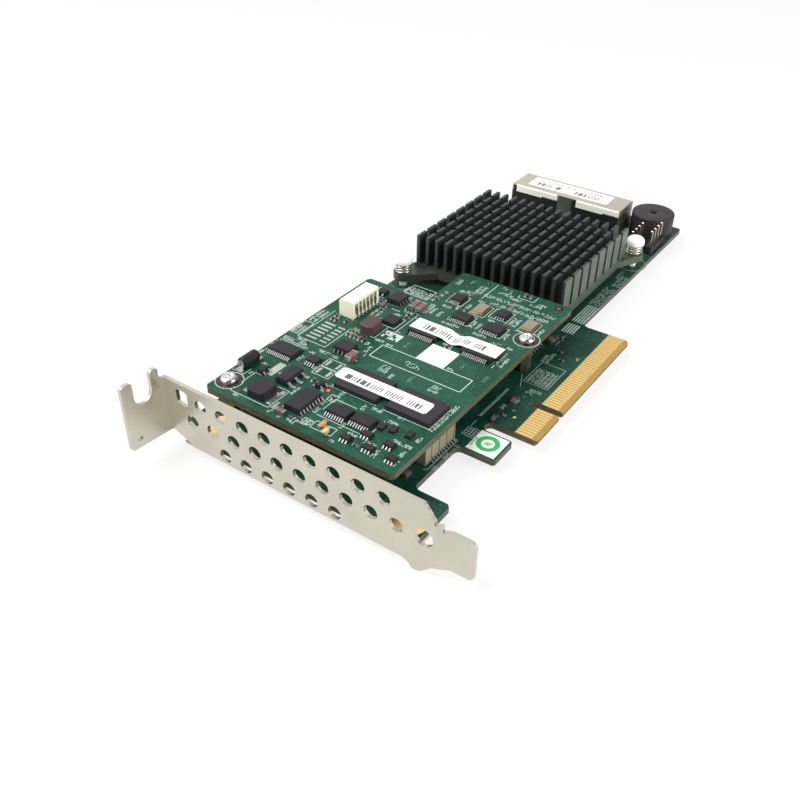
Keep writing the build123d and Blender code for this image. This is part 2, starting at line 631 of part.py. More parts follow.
# power parts: a moulded choke, a wide transistor with its tab, a ferrite choke
choke_x, choke_y, choke_len, choke_w, choke_h = 13.9, 53.6, 5.4, 5.2, 2.2
with BuildPart() as power_choke:
    with BuildSketch(Plane.XY.offset(deck)):
        with Locations((choke_x, choke_y)):
            Polygon(*clipped(choke_len, choke_w, 0.7))
    extrude(amount=choke_h)
    brow = power_choke.faces().sort_by(Axis.Z)[-1].edges()
    chamfer(brow, 0.22)
power_choke.part.label = "power_choke"
export_step(power_choke.part, "parts/power_choke.step")

with BuildPart() as choke_terminals:
    for side in (-1, 1):
        foot = choke_y + side * (choke_w / 2 + 0.7)
        block(choke_x - 2.0, choke_x + 2.0, foot - 0.7, foot + 0.7, deck, deck + 0.3)
choke_terminals.part.label = "choke_terminals"
export_step(choke_terminals.part, "parts/choke_terminals.step")

with BuildPart() as power_transistor:
    moulded(18.7, 24.9, 50.6, 53.9, deck + 0.1, deck + 1.7, 0.25)
power_transistor.part.label = "power_transistor"
export_step(power_transistor.part, "parts/power_transistor.step")

with BuildPart() as transistor_leads:
    block(20.2, 23.4, 53.9, 55.6, deck, deck + 0.3)
    leads_x(19.4, 50.6, 53.9, deck, 3, 2.4, 0.8, 2.1, deck + 0.7, 0.3, sides=(-1,))
transistor_leads.part.label = "transistor_leads"
export_step(transistor_leads.part, "parts/transistor_leads.step")

with BuildPart() as drum_choke:
    with BuildSketch(Plane.XY.offset(deck)):
        with Locations((49.4, 49.7)):
            Polygon(*clipped(5.4, 4.0, 0.8))
    extrude(amount=2.7)
    chamfer(drum_choke.faces().sort_by(Axis.Z)[-1].edges(), 0.3)
drum_choke.part.label = "drum_choke"
export_step(drum_choke.part, "parts/drum_choke.step")

# round diode lying along X, with a metal cap and a foot at each end
diode_x, diode_y, diode_z, diode_len, diode_r = 20.6, 63.6, deck + 1.5, 5.2, 1.45
with BuildPart() as round_diode:
    with BuildSketch(Plane.YZ.offset(diode_x - diode_len / 2)):
        with Locations((diode_y, diode_z)):
            RegularPolygon(diode_r, 20)
    extrude(amount=diode_len)
    ends = round_diode.faces().filter_by(Axis.X)
    chamfer(ends.edges(), 0.35)
round_diode.part.label = "round_diode"
export_step(round_diode.part, "parts/round_diode.step")

with BuildPart() as diode_caps:
    for side in (-1, 1):
        face = diode_x + side * diode_len / 2
        with BuildSketch(Plane.YZ.offset(face)):
            with Locations((diode_y, diode_z)):
                RegularPolygon(1.0, 12)
        extrude(amount=side * 0.25)
        block(face, face + side * 0.25, diode_y - 0.6, diode_y + 0.6, deck, diode_z)
        block(face, face + side * 1.3, diode_y - 0.9, diode_y + 0.9, deck, deck + 0.25)
diode_caps.part.label = "diode_caps"
export_step(diode_caps.part, "parts/diode_caps.step")

# oscillators with flat metal lids
with BuildPart() as oscillators:
    for cx, cy in ((73.6, 32.5), (73.8, 18.4)):
        block(cx - 2.5, cx + 2.5, cy - 1.7, cy + 1.7, deck, deck + 0.6)
        block(cx - 2.2, cx + 2.2, cy - 1.45, cy + 1.45, deck + 0.6, deck + 0.95)
oscillators.part.label = "oscillators"
export_step(oscillators.part, "parts/oscillators.step")

# ceramic capacitors: a brown body with a tinned end on each side, on the
# upper board first and then on the main board near its lower edge
caps = [
    (63.2, 44.2, 66.0, 45.8, deck), (63.2, 46.2, 66.0, 47.8, deck), (34.9, 44.7, 37.5, 46.5, deck),
    (10.0, 44.5, 11.2, 46.2, deck), (10.2, 32.7, 11.8, 33.7, deck), (11.6, 34.6, 13.2, 35.6, deck),
    (17.4, 16.6, 19.0, 17.6, top), (83.0, 16.2, 84.8, 17.3, top), (45.3, 11.6, 46.5, 12.4, top),
    (54.1, 11.3, 55.3, 12.1, top),
]
with BuildPart() as capacitor_bodies:
    for x0, y0, x1, y1, z in caps:
        block(x0, x1, y0, y1, z, z + 0.9 * min(y1 - y0, x1 - x0))
capacitor_bodies.part.label = "capacitor_bodies"
export_step(capacitor_bodies.part, "parts/capacitor_bodies.step")

with BuildPart() as capacitor_ends:
    for x0, y0, x1, y1, z in caps:
        h = 0.92 * min(y1 - y0, x1 - x0)
        if x1 - x0 > y1 - y0:
            block(x0 - 0.45, x0, y0 - 0.03, y1 + 0.03, z, z + h)
            block(x1, x1 + 0.45, y0 - 0.03, y1 + 0.03, z, z + h)
        else:
            block(x0 - 0.03, x1 + 0.03, y0 - 0.45, y0, z, z + h)
            block(x0 - 0.03, x1 + 0.03, y1, y1 + 0.45, z, z + h)
capacitor_ends.part.label = "capacitor_ends"
export_step(capacitor_ends.part, "parts/capacitor_ends.step")

# small regulators near the front corner, in two staggered rows
with BuildPart() as regulator_bodies:
    for i in range(5):
        x = 15.3 if i % 2 else 11.9
        moulded(x - 0.85, x + 0.85, 15.6 + 2.9 * i, 18.0 + 2.9 * i, deck + 0.08, deck + 1.0, 0.08)
regulator_bodies.part.label = "regulator_bodies"
export_step(regulator_bodies.part, "parts/regulator_bodies.step")

with BuildPart() as regulator_leads:
    for i in range(5):
        x = 15.3 if i % 2 else 11.9
        leads_y(16.0 + 2.9 * i, x - 0.85, x + 0.85, deck, 3, 0.8, 0.36, 0.6, deck + 0.45, 0.13, fine=True)
regulator_leads.part.label = "regulator_leads"
export_step(regulator_leads.part, "parts/regulator_leads.step")

# cache memories on the main board, in a row beneath the upper board
with BuildPart() as cache_memories:
    with BuildSketch(Plane.XY.offset(top)):
        with Locations((55.0, 27.7)):
            with GridLocations(10.0, 1, 4, 1):
                Rectangle(9.0, 11.0)
    extrude(amount=1.1)
cache_memories.part.label = "cache_memories"
export_step(cache_memories.part, "parts/cache_memories.step")

# monitor chip on the main board, half under the rear of the upper board
with BuildPart() as monitor_chip:
    moulded(74.6, 81.0, 17.9, 21.8, top + 0.1, top + 1.7)
monitor_chip.part.label = "monitor_chip"
export_step(monitor_chip.part, "parts/monitor_chip.step")

with BuildPart() as monitor_leads:
    leads_x(75.3, 17.9, 21.8, top, 5, 1.27, 0.45, 1.0, top + 0.7, 0.18)
monitor_leads.part.label = "monitor_leads"
export_step(monitor_leads.part, "parts/monitor_leads.step")

# ganged cable ports: black bodies with a contact blade, a metal cage open to
# the rear, cream bars along the back and one label across the cage
port_ys = (cage_low_y + 0.4 + port_w / 2, cage_high_y - 0.4 - port_w / 2)
body_back = cage_rear - 8.2
with BuildPart() as port_bodies:
    for y in port_ys:
        block(port_front, cage_front, y - port_w / 2, y + port_w / 2, top, cage_top - bar_h)
        block(cage_front, body_back, y - port_w / 2, y + port_w / 2, top + cage_wall, cage_top - cage_wall)
        # the bar inside the mouth, with a slot that takes the plug's blade
        block(body_back, bar_end, y - 6.4, y + 6.4, slot_z - 1.7, slot_z + 1.7)
        block(bar_end - 3.6, bar_end + 1, y - 5.9, y + 5.9, slot_z - slot_h / 2, slot_z + slot_h / 2,
              mode=Mode.SUBTRACT)
    noses = port_bodies.edges().filter_by(Axis.Y).filter_by(
        lambda e: e.center().X > bar_end - 0.1 and abs(e.center().Z - slot_z) > 1.6)
    chamfer(noses, 0.4)
    combs = [(port_front, y - 6.3 + 1.8 * i, top + 1.5) for y in port_ys for i in range(8)]
    with Locations(*combs):
        Box(0.6, 0.8, 3.1, mode=Mode.SUBTRACT)
port_bodies.part.label = "port_bodies"
export_step(port_bodies.part, "parts/port_bodies.step")

with BuildPart() as port_contacts:
    for y in port_ys:
        for side in (-1, 1):
            with Locations((bar_end - 1.9, y, slot_z + side * (slot_h / 2 - 0.05))):
                with GridLocations(1, 0.8, 1, 14):
                    Box(3.2, 0.36, 0.1)
port_contacts.part.label = "port_contacts"
export_step(port_contacts.part, "parts/port_contacts.step")

with BuildPart() as port_cage:
    block(cage_front, cage_rear, cage_low_y, cage_high_y, top, cage_top)
    for y in port_ys:
        block(cage_front - 1, cage_rear + 1, y - port_w / 2, y + port_w / 2, top + cage_wall,
              cage_top - cage_wall, mode=Mode.SUBTRACT)
        # latch windows that the cable's hook springs into
        for dy in (-4.6, 4.6):
            block(cage_rear - 3.2, cage_rear - 1.2, y + dy - 1.4, y + dy + 1.4, top - 1,
                  top + cage_wall + 0.1, mode=Mode.SUBTRACT)
    # hollow between the two ports
    block(cage_front + cage_wall, cage_rear - cage_wall, port_ys[0] + port_w / 2 + cage_wall,
          port_ys[1] - port_w / 2 - cage_wall, top - 1, cage_top - cage_wall, mode=Mode.SUBTRACT)
    half_y = (cage_high_y - cage_low_y) / 2
    hips = port_cage.edges().filter_by(Axis.X).filter_by(
        lambda e: e.center().Z > cage_top - 0.05 and abs(e.center().Y - cage_low_y - half_y) > half_y - 0.05)
    chamfer(hips, 0.25)
port_cage.part.label = "port_cage"
export_step(port_cage.part, "parts/port_cage.step")

with BuildPart() as port_bars:
    for y in port_ys:
        low_end, high_end = y + bar_shift - bar_w / 2, y + bar_shift + bar_w / 2
        block(port_front - 0.2, cage_front, low_end, high_end, cage_top - bar_h, cage_top)
        # the shorter stretch at the lower end
        block(port_front - 1, cage_front - 0.2, low_end - 1, low_end + bar_w * 0.36, cage_top - bar_h - 1,
              cage_top - bar_h + 0.5, mode=Mode.SUBTRACT)
    crest = port_bars.edges().filter_by(Axis.Y).filter_by(
        lambda e: e.center().Z > cage_top - 0.05 and e.center().X < port_front)
    chamfer(crest, 0.15)
port_bars.part.label = "port_bars"
export_step(port_bars.part, "parts/port_bars.step")

with BuildPart() as port_label:
    with BuildSketch(Plane.XY.offset(cage_top)):
        with Locations((157.6, 48.4)):
            Polygon(*clipped(6.8, 28.0, 0.4))
    extrude(amount=paper)
port_label.part.label = "port_label"
export_step(port_label.part, "parts/port_label.step")

# alarm sounder: a low round can with a sound hole
sounder_x, sounder_y, sounder_r, sounder_h = 162.0, 21.3, 6.6, 6.6
with BuildPart() as sounder:
    can_top = top + sounder_h
    profile = ((sounder_r, top), (sounder_r, can_top - 0.5), (sounder_r - 0.5, can_top))
    crowned([(sounder_x, sounder_y)], profile, 40)
    prisms([(sounder_x, sounder_y)], 1.1, can_top - 2.4, can_top + 1, mode=Mode.SUBTRACT)
sounder.part.label = "sounder"
export_step(sounder.part, "parts/sounder.step")

with BuildPart() as sounder_legs:
    prisms([(sounder_x - 3.25, sounder_y), (sounder_x + 3.25, sounder_y)], 0.35, -1.4, 0, 8)
sounder_legs.part.label = "sounder_legs"
export_step(sounder_legs.part, "parts/sounder_legs.step")

# pin headers beside the sounder
pin_pitch = 2.54
header_rows = [(147.0, 15.75, 4), (143.4, 20.4, 4)]
with BuildPart() as header_bases:
    for x0, y, n in header_rows:
        with Locations((x0 + (n - 1) * pin_pitch / 2, y, top + 1.25)):
            Box(n * pin_pitch, 2.5, 2.5)
        knees = header_bases.edges().filter_by(Axis.Z).filter_by(lambda e: abs(e.center().Y - y) < 1.3)
        chamfer(knees, 0.4)
        notches = [(x0 + (i + 0.5) * pin_pitch, y + side * 1.25, top + 1.25)
                   for i in range(n - 1) for side in (-1, 1)]
        with Locations(*notches):
            Box(0.7, 0.7, 3.0, rotation=(0, 0, 45), mode=Mode.SUBTRACT)
    holes = [(x0 + i * pin_pitch, y, top + 1.25) for x0, y, n in header_rows for i in range(n)]
    with Locations(*holes):
        Box(0.64, 0.64, 4, mode=Mode.SUBTRACT)
header_bases.part.label = "header_bases"
export_step(header_bases.part, "parts/header_bases.step")

with BuildPart() as header_pins:
    spots = [(x0 + i * pin_pitch, y) for x0, y, n in header_rows for i in range(n)]
    for x, y in spots:
        block(x - 0.32, x + 0.32, y - 0.32, y + 0.32, top, 8.9)
    crowns = header_pins.faces().filter_by(Axis.Z).filter_by(lambda f: f.center().Z > 8.8)
    chamfer(crowns.edges(), 0.12)
header_pins.part.label = "header_pins"
export_step(header_pins.part, "parts/header_pins.step")

with BuildPart() as header_tails:
    spots = [(x0 + i * pin_pitch, y) for x0, y, n in header_rows for i in range(n)]
    for x, y in spots:
        block(x - 0.32, x + 0.32, y - 0.32, y + 0.32, -1.3, 0)
header_tails.part.label = "header_tails"
export_step(header_tails.part, "parts/header_tails.step")
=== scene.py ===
import bmesh
import bpy
import numpy as np
from math import radians
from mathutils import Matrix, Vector


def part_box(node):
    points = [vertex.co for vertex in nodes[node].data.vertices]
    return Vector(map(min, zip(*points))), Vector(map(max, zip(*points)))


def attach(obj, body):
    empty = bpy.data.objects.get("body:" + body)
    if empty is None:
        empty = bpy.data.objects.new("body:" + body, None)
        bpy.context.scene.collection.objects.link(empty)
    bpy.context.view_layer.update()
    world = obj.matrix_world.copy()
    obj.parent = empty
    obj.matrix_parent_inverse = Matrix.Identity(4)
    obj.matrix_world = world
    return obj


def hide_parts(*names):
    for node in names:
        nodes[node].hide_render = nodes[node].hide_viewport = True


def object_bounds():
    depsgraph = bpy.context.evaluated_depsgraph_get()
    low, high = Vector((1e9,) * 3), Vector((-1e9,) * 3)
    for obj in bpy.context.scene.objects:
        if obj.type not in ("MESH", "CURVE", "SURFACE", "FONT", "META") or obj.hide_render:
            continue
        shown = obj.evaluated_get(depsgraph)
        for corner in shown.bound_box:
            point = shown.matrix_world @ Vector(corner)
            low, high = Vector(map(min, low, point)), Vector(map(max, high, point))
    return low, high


# A low profile raid controller card: two green boards, a nickel slot bracket,
# a black pin-fin heat sink and cable ports. Sizes below are in millimetres in
# the card's own frame: X from the bracket to the ports, Y up the card, Z up.

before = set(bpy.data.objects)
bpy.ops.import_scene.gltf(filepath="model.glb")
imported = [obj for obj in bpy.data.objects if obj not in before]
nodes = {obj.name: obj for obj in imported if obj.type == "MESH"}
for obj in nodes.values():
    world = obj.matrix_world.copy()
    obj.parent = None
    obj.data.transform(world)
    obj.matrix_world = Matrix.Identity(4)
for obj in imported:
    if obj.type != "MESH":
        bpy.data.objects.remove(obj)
cad_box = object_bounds()
MM = 0.001


def span(node):
    """Lowest and highest corner of a CAD node, in millimetres."""
    low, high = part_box(node)
    return np.array(low) / MM, np.array(high) / MM


_, main_high = span("main_board")
upper_low, upper_high = span("cache_board")
card_top = main_high[2]
deck = upper_high[2]
dice = np.random.default_rng(7)


# surfaces worked out as whole arrays

CUBE = np.array([[0, 2, 3, 1], [4, 5, 7, 6], [0, 1, 5, 4], [2, 6, 7, 3], [0, 4, 6, 2], [1, 3, 7, 5]])


def piece(name, verts, faces, material, slot, smooth=False):
    """Puts arrays of points, in millimetres, and faces into a mesh that rides on the card."""
    mesh = bpy.data.meshes.new(name)
    mesh.from_pydata((np.asarray(verts) * MM).tolist(), [], np.asarray(faces).tolist())
    if smooth:
        work = bmesh.new()
        work.from_mesh(mesh)
        bmesh.ops.remove_doubles(work, verts=work.verts, dist=1e-7)
        bmesh.ops.dissolve_degenerate(work, edges=work.edges, dist=1e-8)
        bmesh.ops.recalc_face_normals(work, faces=work.faces)
        work.to_mesh(mesh)
        work.free()
    mesh.materials.append(material)
    mesh.polygons.foreach_set("use_smooth", np.full(len(mesh.polygons), smooth))
    mesh.update()
    thing = bpy.data.objects.new(name, mesh)
    bpy.context.scene.collection.objects.link(thing)
    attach(thing, "root")
    return thing


def joined(*parts):
    """Stacks several (points, faces) pairs into one, with the faces counted on."""
    counts = np.cumsum([0] + [len(v) for v, _ in parts])
    return np.vstack([v for v, _ in parts]), np.vstack([f + c for (_, f), c in zip(parts, counts)])


def counted(faces, step, copies):
    """The faces once for each copy, with their points counted on by the step."""
    return (faces + step * np.arange(copies)[:, None, None]).reshape(-1, 4)


def stood(one, faces, centres):
    """One shape repeated at each (x, y) centre."""
    centres = np.atleast_2d(centres).astype(float)
    shift = np.concatenate([centres, np.zeros((len(centres), 1))], 1)
    return (one[None] + shift[:, None]).reshape(-1, 3), counted(faces, len(one), len(centres))


def lattice(rows, columns, closed_rows=True, closed_columns=False):
    """Faces between the neighbours of a grid of points, whose rows and columns may close on themselves."""
    i, j = np.meshgrid(np.arange(rows - (not closed_rows)), np.arange(columns - (not closed_columns)),
                       indexing="ij")
    ni, nj = (i + 1) % rows, (j + 1) % columns
    faces = [i * columns + j, ni * columns + j, ni * columns + nj, i * columns + nj]
    return np.stack(faces, 2).reshape(-1, 4)


def blocks(low, high):
    """Boxes: corner k of box i is low + (the three bits of k) times (high - low)."""
    low, high = np.atleast_2d(low).astype(float), np.atleast_2d(high).astype(float)
    bits = (np.arange(8)[:, None] >> np.arange(3)) & 1
    verts = low[:, None] + bits * (high - low)[:, None]
    return verts.reshape(-1, 3), counted(CUBE, 8, len(low))


def strokes(runs, width, level, rise=0.02):
    """Flat bars along runs of (x0, y0, x1, y1): a point is the run's start plus s times its length,
    plus or minus half the width across it, at the level or the rise above it."""
    runs = np.atleast_2d(runs).astype(float)
    start, end = runs[:, :2], runs[:, 2:4]
    along = end - start
    along /= np.maximum(np.hypot(along[:, 0], along[:, 1]), 1e-9)[:, None]
    across = np.stack([-along[:, 1], along[:, 0]], 1) * np.broadcast_to(width, len(runs))[:, None] / 2
    s, side, up = [((np.arange(8) >> k) & 1) for k in range(3)]
    flat = start[:, None] + (end - start)[:, None] * s[:, None] + across[:, None] * (2 * side - 1)[:, None]
    z = np.broadcast_to(level + rise * up, flat.shape[:2])[..., None]
    return np.concatenate([flat, z], 2).reshape(-1, 3), counted(CUBE, 8, len(runs))


def rings(centres, inner, outer, level, rise, sides=16):
    """Flat rings: radius and height run round the closed profile (inner, low), (outer, low), (outer, high),
    (inner, high) while the angle runs round the centre."""
    angle = np.linspace(0, 2 * np.pi, sides, endpoint=False)
    radius = np.array([inner, outer, outer, inner])
    height = np.array([level, level, level + rise, level + rise])
    x = radius[None] * np.cos(angle)[:, None]
    y = radius[None] * np.sin(angle)[:, None]
    z = np.broadcast_to(height, x.shape)
    one = np.stack([x, y, z], 2).reshape(-1, 3)
    return stood(one, lattice(sides, 4, closed_columns=True), centres)


def turned(centres, profile, sides=40):
    """Surfaces of revolution: each (radius, height) of the profile runs round upright axes at the centres,
    point = centre + (radius cos a, radius sin a, height)."""
    profile = np.asarray(profile, float)
    angle = np.linspace(0, 2 * np.pi, sides, endpoint=False)
    x = np.cos(angle)[:, None] * profile[:, 0]
    y = np.sin(angle)[:, None] * profile[:, 0]
    one = np.stack([x, y, np.broadcast_to(profile[:, 1], x.shape)], 2).reshape(-1, 3)
    return stood(one, lattice(sides, len(profile)), centres)


def toward(corner, other, radius):
    """The point at the radius from a corner toward its neighbour, or halfway there where that is nearer."""
    gap = np.linalg.norm(other - corner)
    return corner + (other - corner) / gap * min(radius, gap / 2)


def rounded(points, radius, steps=5):
    """The profile with its inner corners rounded: each corner P becomes the curve
    (1-t)^2 A + 2t(1-t) P + t^2 B between points A and B at the radius before and after it."""
    points = np.asarray(points, float)
    t = np.linspace(0, 1, steps)[:, None]
    made = [points[:1]]
    for before, corner, after in zip(points, points[1:], points[2:]):
        near, far = toward(corner, before, radius), toward(corner, after, radius)
        made.append((1 - t) ** 2 * near + 2 * t * (1 - t) * corner + t ** 2 * far)
    made.append(points[-1:])
    return np.vstack(made)


def outline(x0, y0, x1, y1):
    """The four runs round a rectangle."""
    return [(x0, y0, x1, y0), (x1, y0, x1, y1), (x1, y1, x0, y1), (x0, y1, x0, y0)]


def tick_marks(x, y, count, height, turn=0):
    """A row of small unreadable marks: each cell shows some of seven short runs, chosen by chance.
    Cell k starts at (x, y) plus k cell widths along the row, and turn gives quarter turns."""
    w = 0.55 * height
    segments = np.array([[0, 0, 1, 0], [0, 1, 1, 1], [0, 2, 1, 2], [0, 0, 0, 1], [0, 1, 0, 2], [1, 0, 1, 1],
                         [1, 1, 1, 2]], float)
    scaled = segments * np.array([w, height / 2, w, height / 2])
    cells = scaled[None] + np.arange(count)[:, None, None] * np.array([w * 1.6, 0, w * 1.6, 0])
    keep = dice.random((count, 7)) < 0.62
    runs = cells[keep]
    c, s = np.cos(turn * np.pi / 2), np.sin(turn * np.pi / 2)
    spin = np.array([[c, -s], [s, c]])
    return np.concatenate([runs[:, :2] @ spin.T + (x, y), runs[:, 2:] @ spin.T + (x, y)], 1).tolist()


# node groups shared by the materials

ORIGIN = (0, 0, 0)


def new_group(name, inputs, outputs):
    """A node group with the given inputs, each a plain number or a vector, and outputs that are numbers."""
    tree = bpy.data.node_groups.new(name, "ShaderNodeTree")
    for label, value in inputs.items():
        kind = "NodeSocketFloat" if isinstance(value, float) else "NodeSocketVector"
        tree.interface.new_socket(label, in_out="INPUT", socket_type=kind).default_value = value
    for label in outputs:
        tree.interface.new_socket(label, in_out="OUTPUT", socket_type="NodeSocketFloat")
    return tree, tree.nodes.new("NodeGroupInput"), tree.nodes.new("NodeGroupOutput")


def plug(tree, value, socket):
    """Links an output to a socket, or sets a plain value on it."""
    if isinstance(value, bpy.types.NodeSocket):
        tree.links.new(value, socket)
    else:
        socket.default_value = value


def math(tree, operation, a, b=None, c=None, clamp=False):
    node = tree.nodes.new("ShaderNodeMath")
    node.operation = operation
    node.use_clamp = clamp
    for value, socket in zip((a, b, c), node.inputs):
        if value is not None:
            plug(tree, value, socket)
    return node.outputs[0]


def times(tree, a, b):
    return math(tree, "MULTIPLY", a, b)


def plus(tree, a, b):
    return math(tree, "ADD", a, b)


def minus(tree, a, b):
    return math(tree, "SUBTRACT", a, b)


def above(tree, a, b):
    return math(tree, "GREATER_THAN", a, b)


def below(tree, a, b):
    return math(tree, "LESS_THAN", a, b)


def inside(tree, value, low, high):
    """One where the value lies between low and high, and nought elsewhere."""
    return times(tree, above(tree, value, low), below(tree, value, high))


def along(tree, vector, way):
    """How far a vector runs the given way: their dot product, with the way at unit length."""
    node = tree.nodes.new("ShaderNodeVectorMath")
    node.operation = "DOT_PRODUCT"
    tree.links.new(vector, node.inputs[0])
    node.inputs[1].default_value = Vector(way).normalized()
    return node.outputs["Value"]


def scaled(tree, vector, factors):
    """A vector with each part multiplied by its own factor."""
    node = tree.nodes.new("ShaderNodeVectorMath")
    node.operation = "MULTIPLY"
    plug(tree, vector, node.inputs[0])
    plug(tree, factors, node.inputs[1])
    return node.outputs[0]


def blend(tree, factor, a, b, kind="MIX"):
    node = tree.nodes.new("ShaderNodeMix")
    node.data_type = "RGBA"
    node.blend_type = kind
    for value, socket in zip((factor, a, b), (node.inputs[0], node.inputs[6], node.inputs[7])):
        plug(tree, value, socket)
    return node.outputs[2]


def remap(tree, value, a, b, c=0.0, d=1.0):
    node = tree.nodes.new("ShaderNodeMapRange")
    for v, socket in zip((value, a, b, c, d), node.inputs):
        plug(tree, v, socket)
    return node.outputs[0]


def noise(tree, vector, scale, detail=2.0, rough=0.5):
    node = tree.nodes.new("ShaderNodeTexNoise")
    plug(tree, vector, node.inputs["Vector"])
    plug(tree, scale, node.inputs["Scale"])
    node.inputs["Detail"].default_value = detail
    node.inputs["Roughness"].default_value = rough
    return node.outputs["Fac"]


def split(tree, vector):
    node = tree.nodes.new("ShaderNodeSeparateXYZ")
    plug(tree, vector, node.inputs[0])
    return node.outputs


def grain_group():
    """Cloudy and fine variation of a moulded or coated surface, as a tone near 1 and a height."""
    tree, given, result = new_group(
        "surface grain", {"Vector": ORIGIN, "Coarse": 0.15, "Fine": 4.0, "Amount": 0.15}, ["Tone", "Height"])
    cloud = noise(tree, given.outputs["Vector"], given.outputs["Coarse"], 3)
    fine = noise(tree, given.outputs["Vector"], given.outputs["Fine"], 2)
    both = minus(tree, plus(tree, cloud, fine), 1.0)
    plug(tree, plus(tree, times(tree, both, given.outputs["Amount"]), 1.0), result.inputs["Tone"])
    plug(tree, fine, result.inputs["Height"])
    return tree


def rolled_group():
    """Fine parallel lines of rolled or brushed metal: noise stretched along one direction."""
    tree, given, result = new_group(
        "rolled lines", {"Vector": ORIGIN, "Stretch": (1, 1, 1)}, ["Line", "Cloud"])
    stretched = scaled(tree, given.outputs["Vector"], given.outputs["Stretch"])
    plug(tree, noise(tree, stretched, 1.0, 4), result.inputs["Line"])
    plug(tree, noise(tree, given.outputs["Vector"], 0.12, 3), result.inputs["Cloud"])
    return tree


def bars_group():
    """Printed bars across a label: cells along Y are dark by turns with chance changes, inside a window."""
    tree, given, result = new_group(
        "printed bars", {"Vector": ORIGIN, "Low X": 0.0, "High X": 1.0, "Low Y": 0.0, "High Y": 1.0,
                         "Cell": 0.2, "Share": 0.5}, ["Mask"])
    x, y, _ = split(tree, given.outputs["Vector"])
    cell = math(tree, "FLOOR", math(tree, "DIVIDE", y, given.outputs["Cell"]))
    chance = tree.nodes.new("ShaderNodeTexWhiteNoise")
    chance.noise_dimensions = "1D"
    plug(tree, cell, chance.inputs["W"])
    odd = above(tree, math(tree, "FRACT", math(tree, "DIVIDE", cell, 2.0)), 0.25)
    swing = times(tree, minus(tree, odd, 0.5), 0.45)
    share = plus(tree, given.outputs["Share"], swing)
    dark = below(tree, chance.outputs["Value"], share)
    for value, way in ((x, "X"), (y, "Y")):
        low, high = given.outputs["Low " + way], given.outputs["High " + way]
        dark = times(tree, dark, inside(tree, value, low, high))
    plug(tree, dark, result.inputs["Mask"])
    return tree


def copper_group():
    """What shows through solder mask: patches of fine parallel traces, and scattered vias."""
    tree, given, result = new_group(
        "copper under mask", {"Vector": ORIGIN, "Patch": 0.11, "Pitch": 0.6}, ["Traces", "Vias", "Pour"])
    x, y, _ = split(tree, given.outputs["Vector"])
    patch = tree.nodes.new("ShaderNodeTexVoronoi")
    patch.voronoi_dimensions = "2D"
    plug(tree, given.outputs["Vector"], patch.inputs["Vector"])
    plug(tree, given.outputs["Patch"], patch.inputs["Scale"])
    pick = split(tree, patch.outputs["Color"])
    lines = []
    for way in (x, y, plus(tree, x, y)):
        wave = math(tree, "FRACT", math(tree, "DIVIDE", way, given.outputs["Pitch"]))
        lines.append(below(tree, math(tree, "ABSOLUTE", minus(tree, wave, 0.5)), 0.2))
    first = below(tree, pick[0], 0.4)
    second = above(tree, pick[0], 0.8)
    line = plus(tree, times(tree, lines[0], first), times(tree, lines[2], second))
    rest = minus(tree, minus(tree, 1.0, first), second)
    line = plus(tree, line, times(tree, lines[1], rest))
    plug(tree, times(tree, line, above(tree, pick[1], 0.5)), result.inputs["Traces"])
    via = tree.nodes.new("ShaderNodeTexVoronoi")
    via.voronoi_dimensions = "2D"
    plug(tree, given.outputs["Vector"], via.inputs["Vector"])
    via.inputs["Scale"].default_value = 0.42
    near = below(tree, via.outputs["Distance"], 0.085)
    plug(tree, near, result.inputs["Vias"])
    plug(tree, above(tree, noise(tree, given.outputs["Vector"], 0.09, 1), 0.5), result.inputs["Pour"])
    return tree


def laminate_group():
    """The cut edge of glass laminate: a mask for faces that look sideways, and its thin layers."""
    tree, given, result = new_group("laminate edge", {"Vector": ORIGIN}, ["Side", "Layers"])
    coordinate = tree.nodes.new("ShaderNodeTexCoord")
    up = math(tree, "ABSOLUTE", split(tree, coordinate.outputs["Normal"])[2])
    plug(tree, below(tree, up, 0.5), result.inputs["Side"])
    layered = scaled(tree, given.outputs["Vector"], (0.5, 0.5, 6.0))
    plug(tree, noise(tree, layered, 1.0, 3), result.inputs["Layers"])
    return tree


GRAIN, ROLLED, BARS = grain_group(), rolled_group(), bars_group()
COPPER, LAMINATE = copper_group(), laminate_group()


def start(name, metallic=0.0, roughness=0.5, **sockets):
    """A new material with its principled shader, and object coordinates in millimetres."""
    material = bpy.data.materials.new(name)
    material.use_nodes = True
    tree = material.node_tree
    shader = tree.nodes["Principled BSDF"]
    shader.inputs["Metallic"].default_value = metallic
    shader.inputs["Roughness"].default_value = roughness
    for label, value in sockets.items():
        shader.inputs[label.replace("_", " ")].default_value = value
    coordinate = tree.nodes.new("ShaderNodeTexCoord")
    scale = tree.nodes.new("ShaderNodeVectorMath")
    scale.operation = "SCALE"
    tree.links.new(coordinate.outputs["Object"], scale.inputs[0])
    scale.inputs["Scale"].default_value = 1000.0
    return material, tree, shader, scale.outputs[0]


def use(tree, group, **values):
    node = tree.nodes.new("ShaderNodeGroup")
    node.node_tree = group
    for label, value in values.items():
        plug(tree, value, node.inputs[label.replace("_", " ")])
    return node.outputs


def bump(tree, shader, height, strength, distance=0.00005):
    node = tree.nodes.new("ShaderNodeBump")
    plug(tree, height, node.inputs["Height"])
    node.inputs["Strength"].default_value = strength
    node.inputs["Distance"].default_value = distance
    tree.links.new(node.outputs[0], shader.inputs["Normal"])


def tinted(tree, color, tone):
    """The colour multiplied by a grey tone near 1."""
    node = tree.nodes.new("ShaderNodeVectorMath")
    node.operation = "SCALE"
    plug(tree, color if isinstance(color, bpy.types.NodeSocket) else color[:3], node.inputs[0])
    plug(tree, tone, node.inputs["Scale"])
    return node.outputs[0]


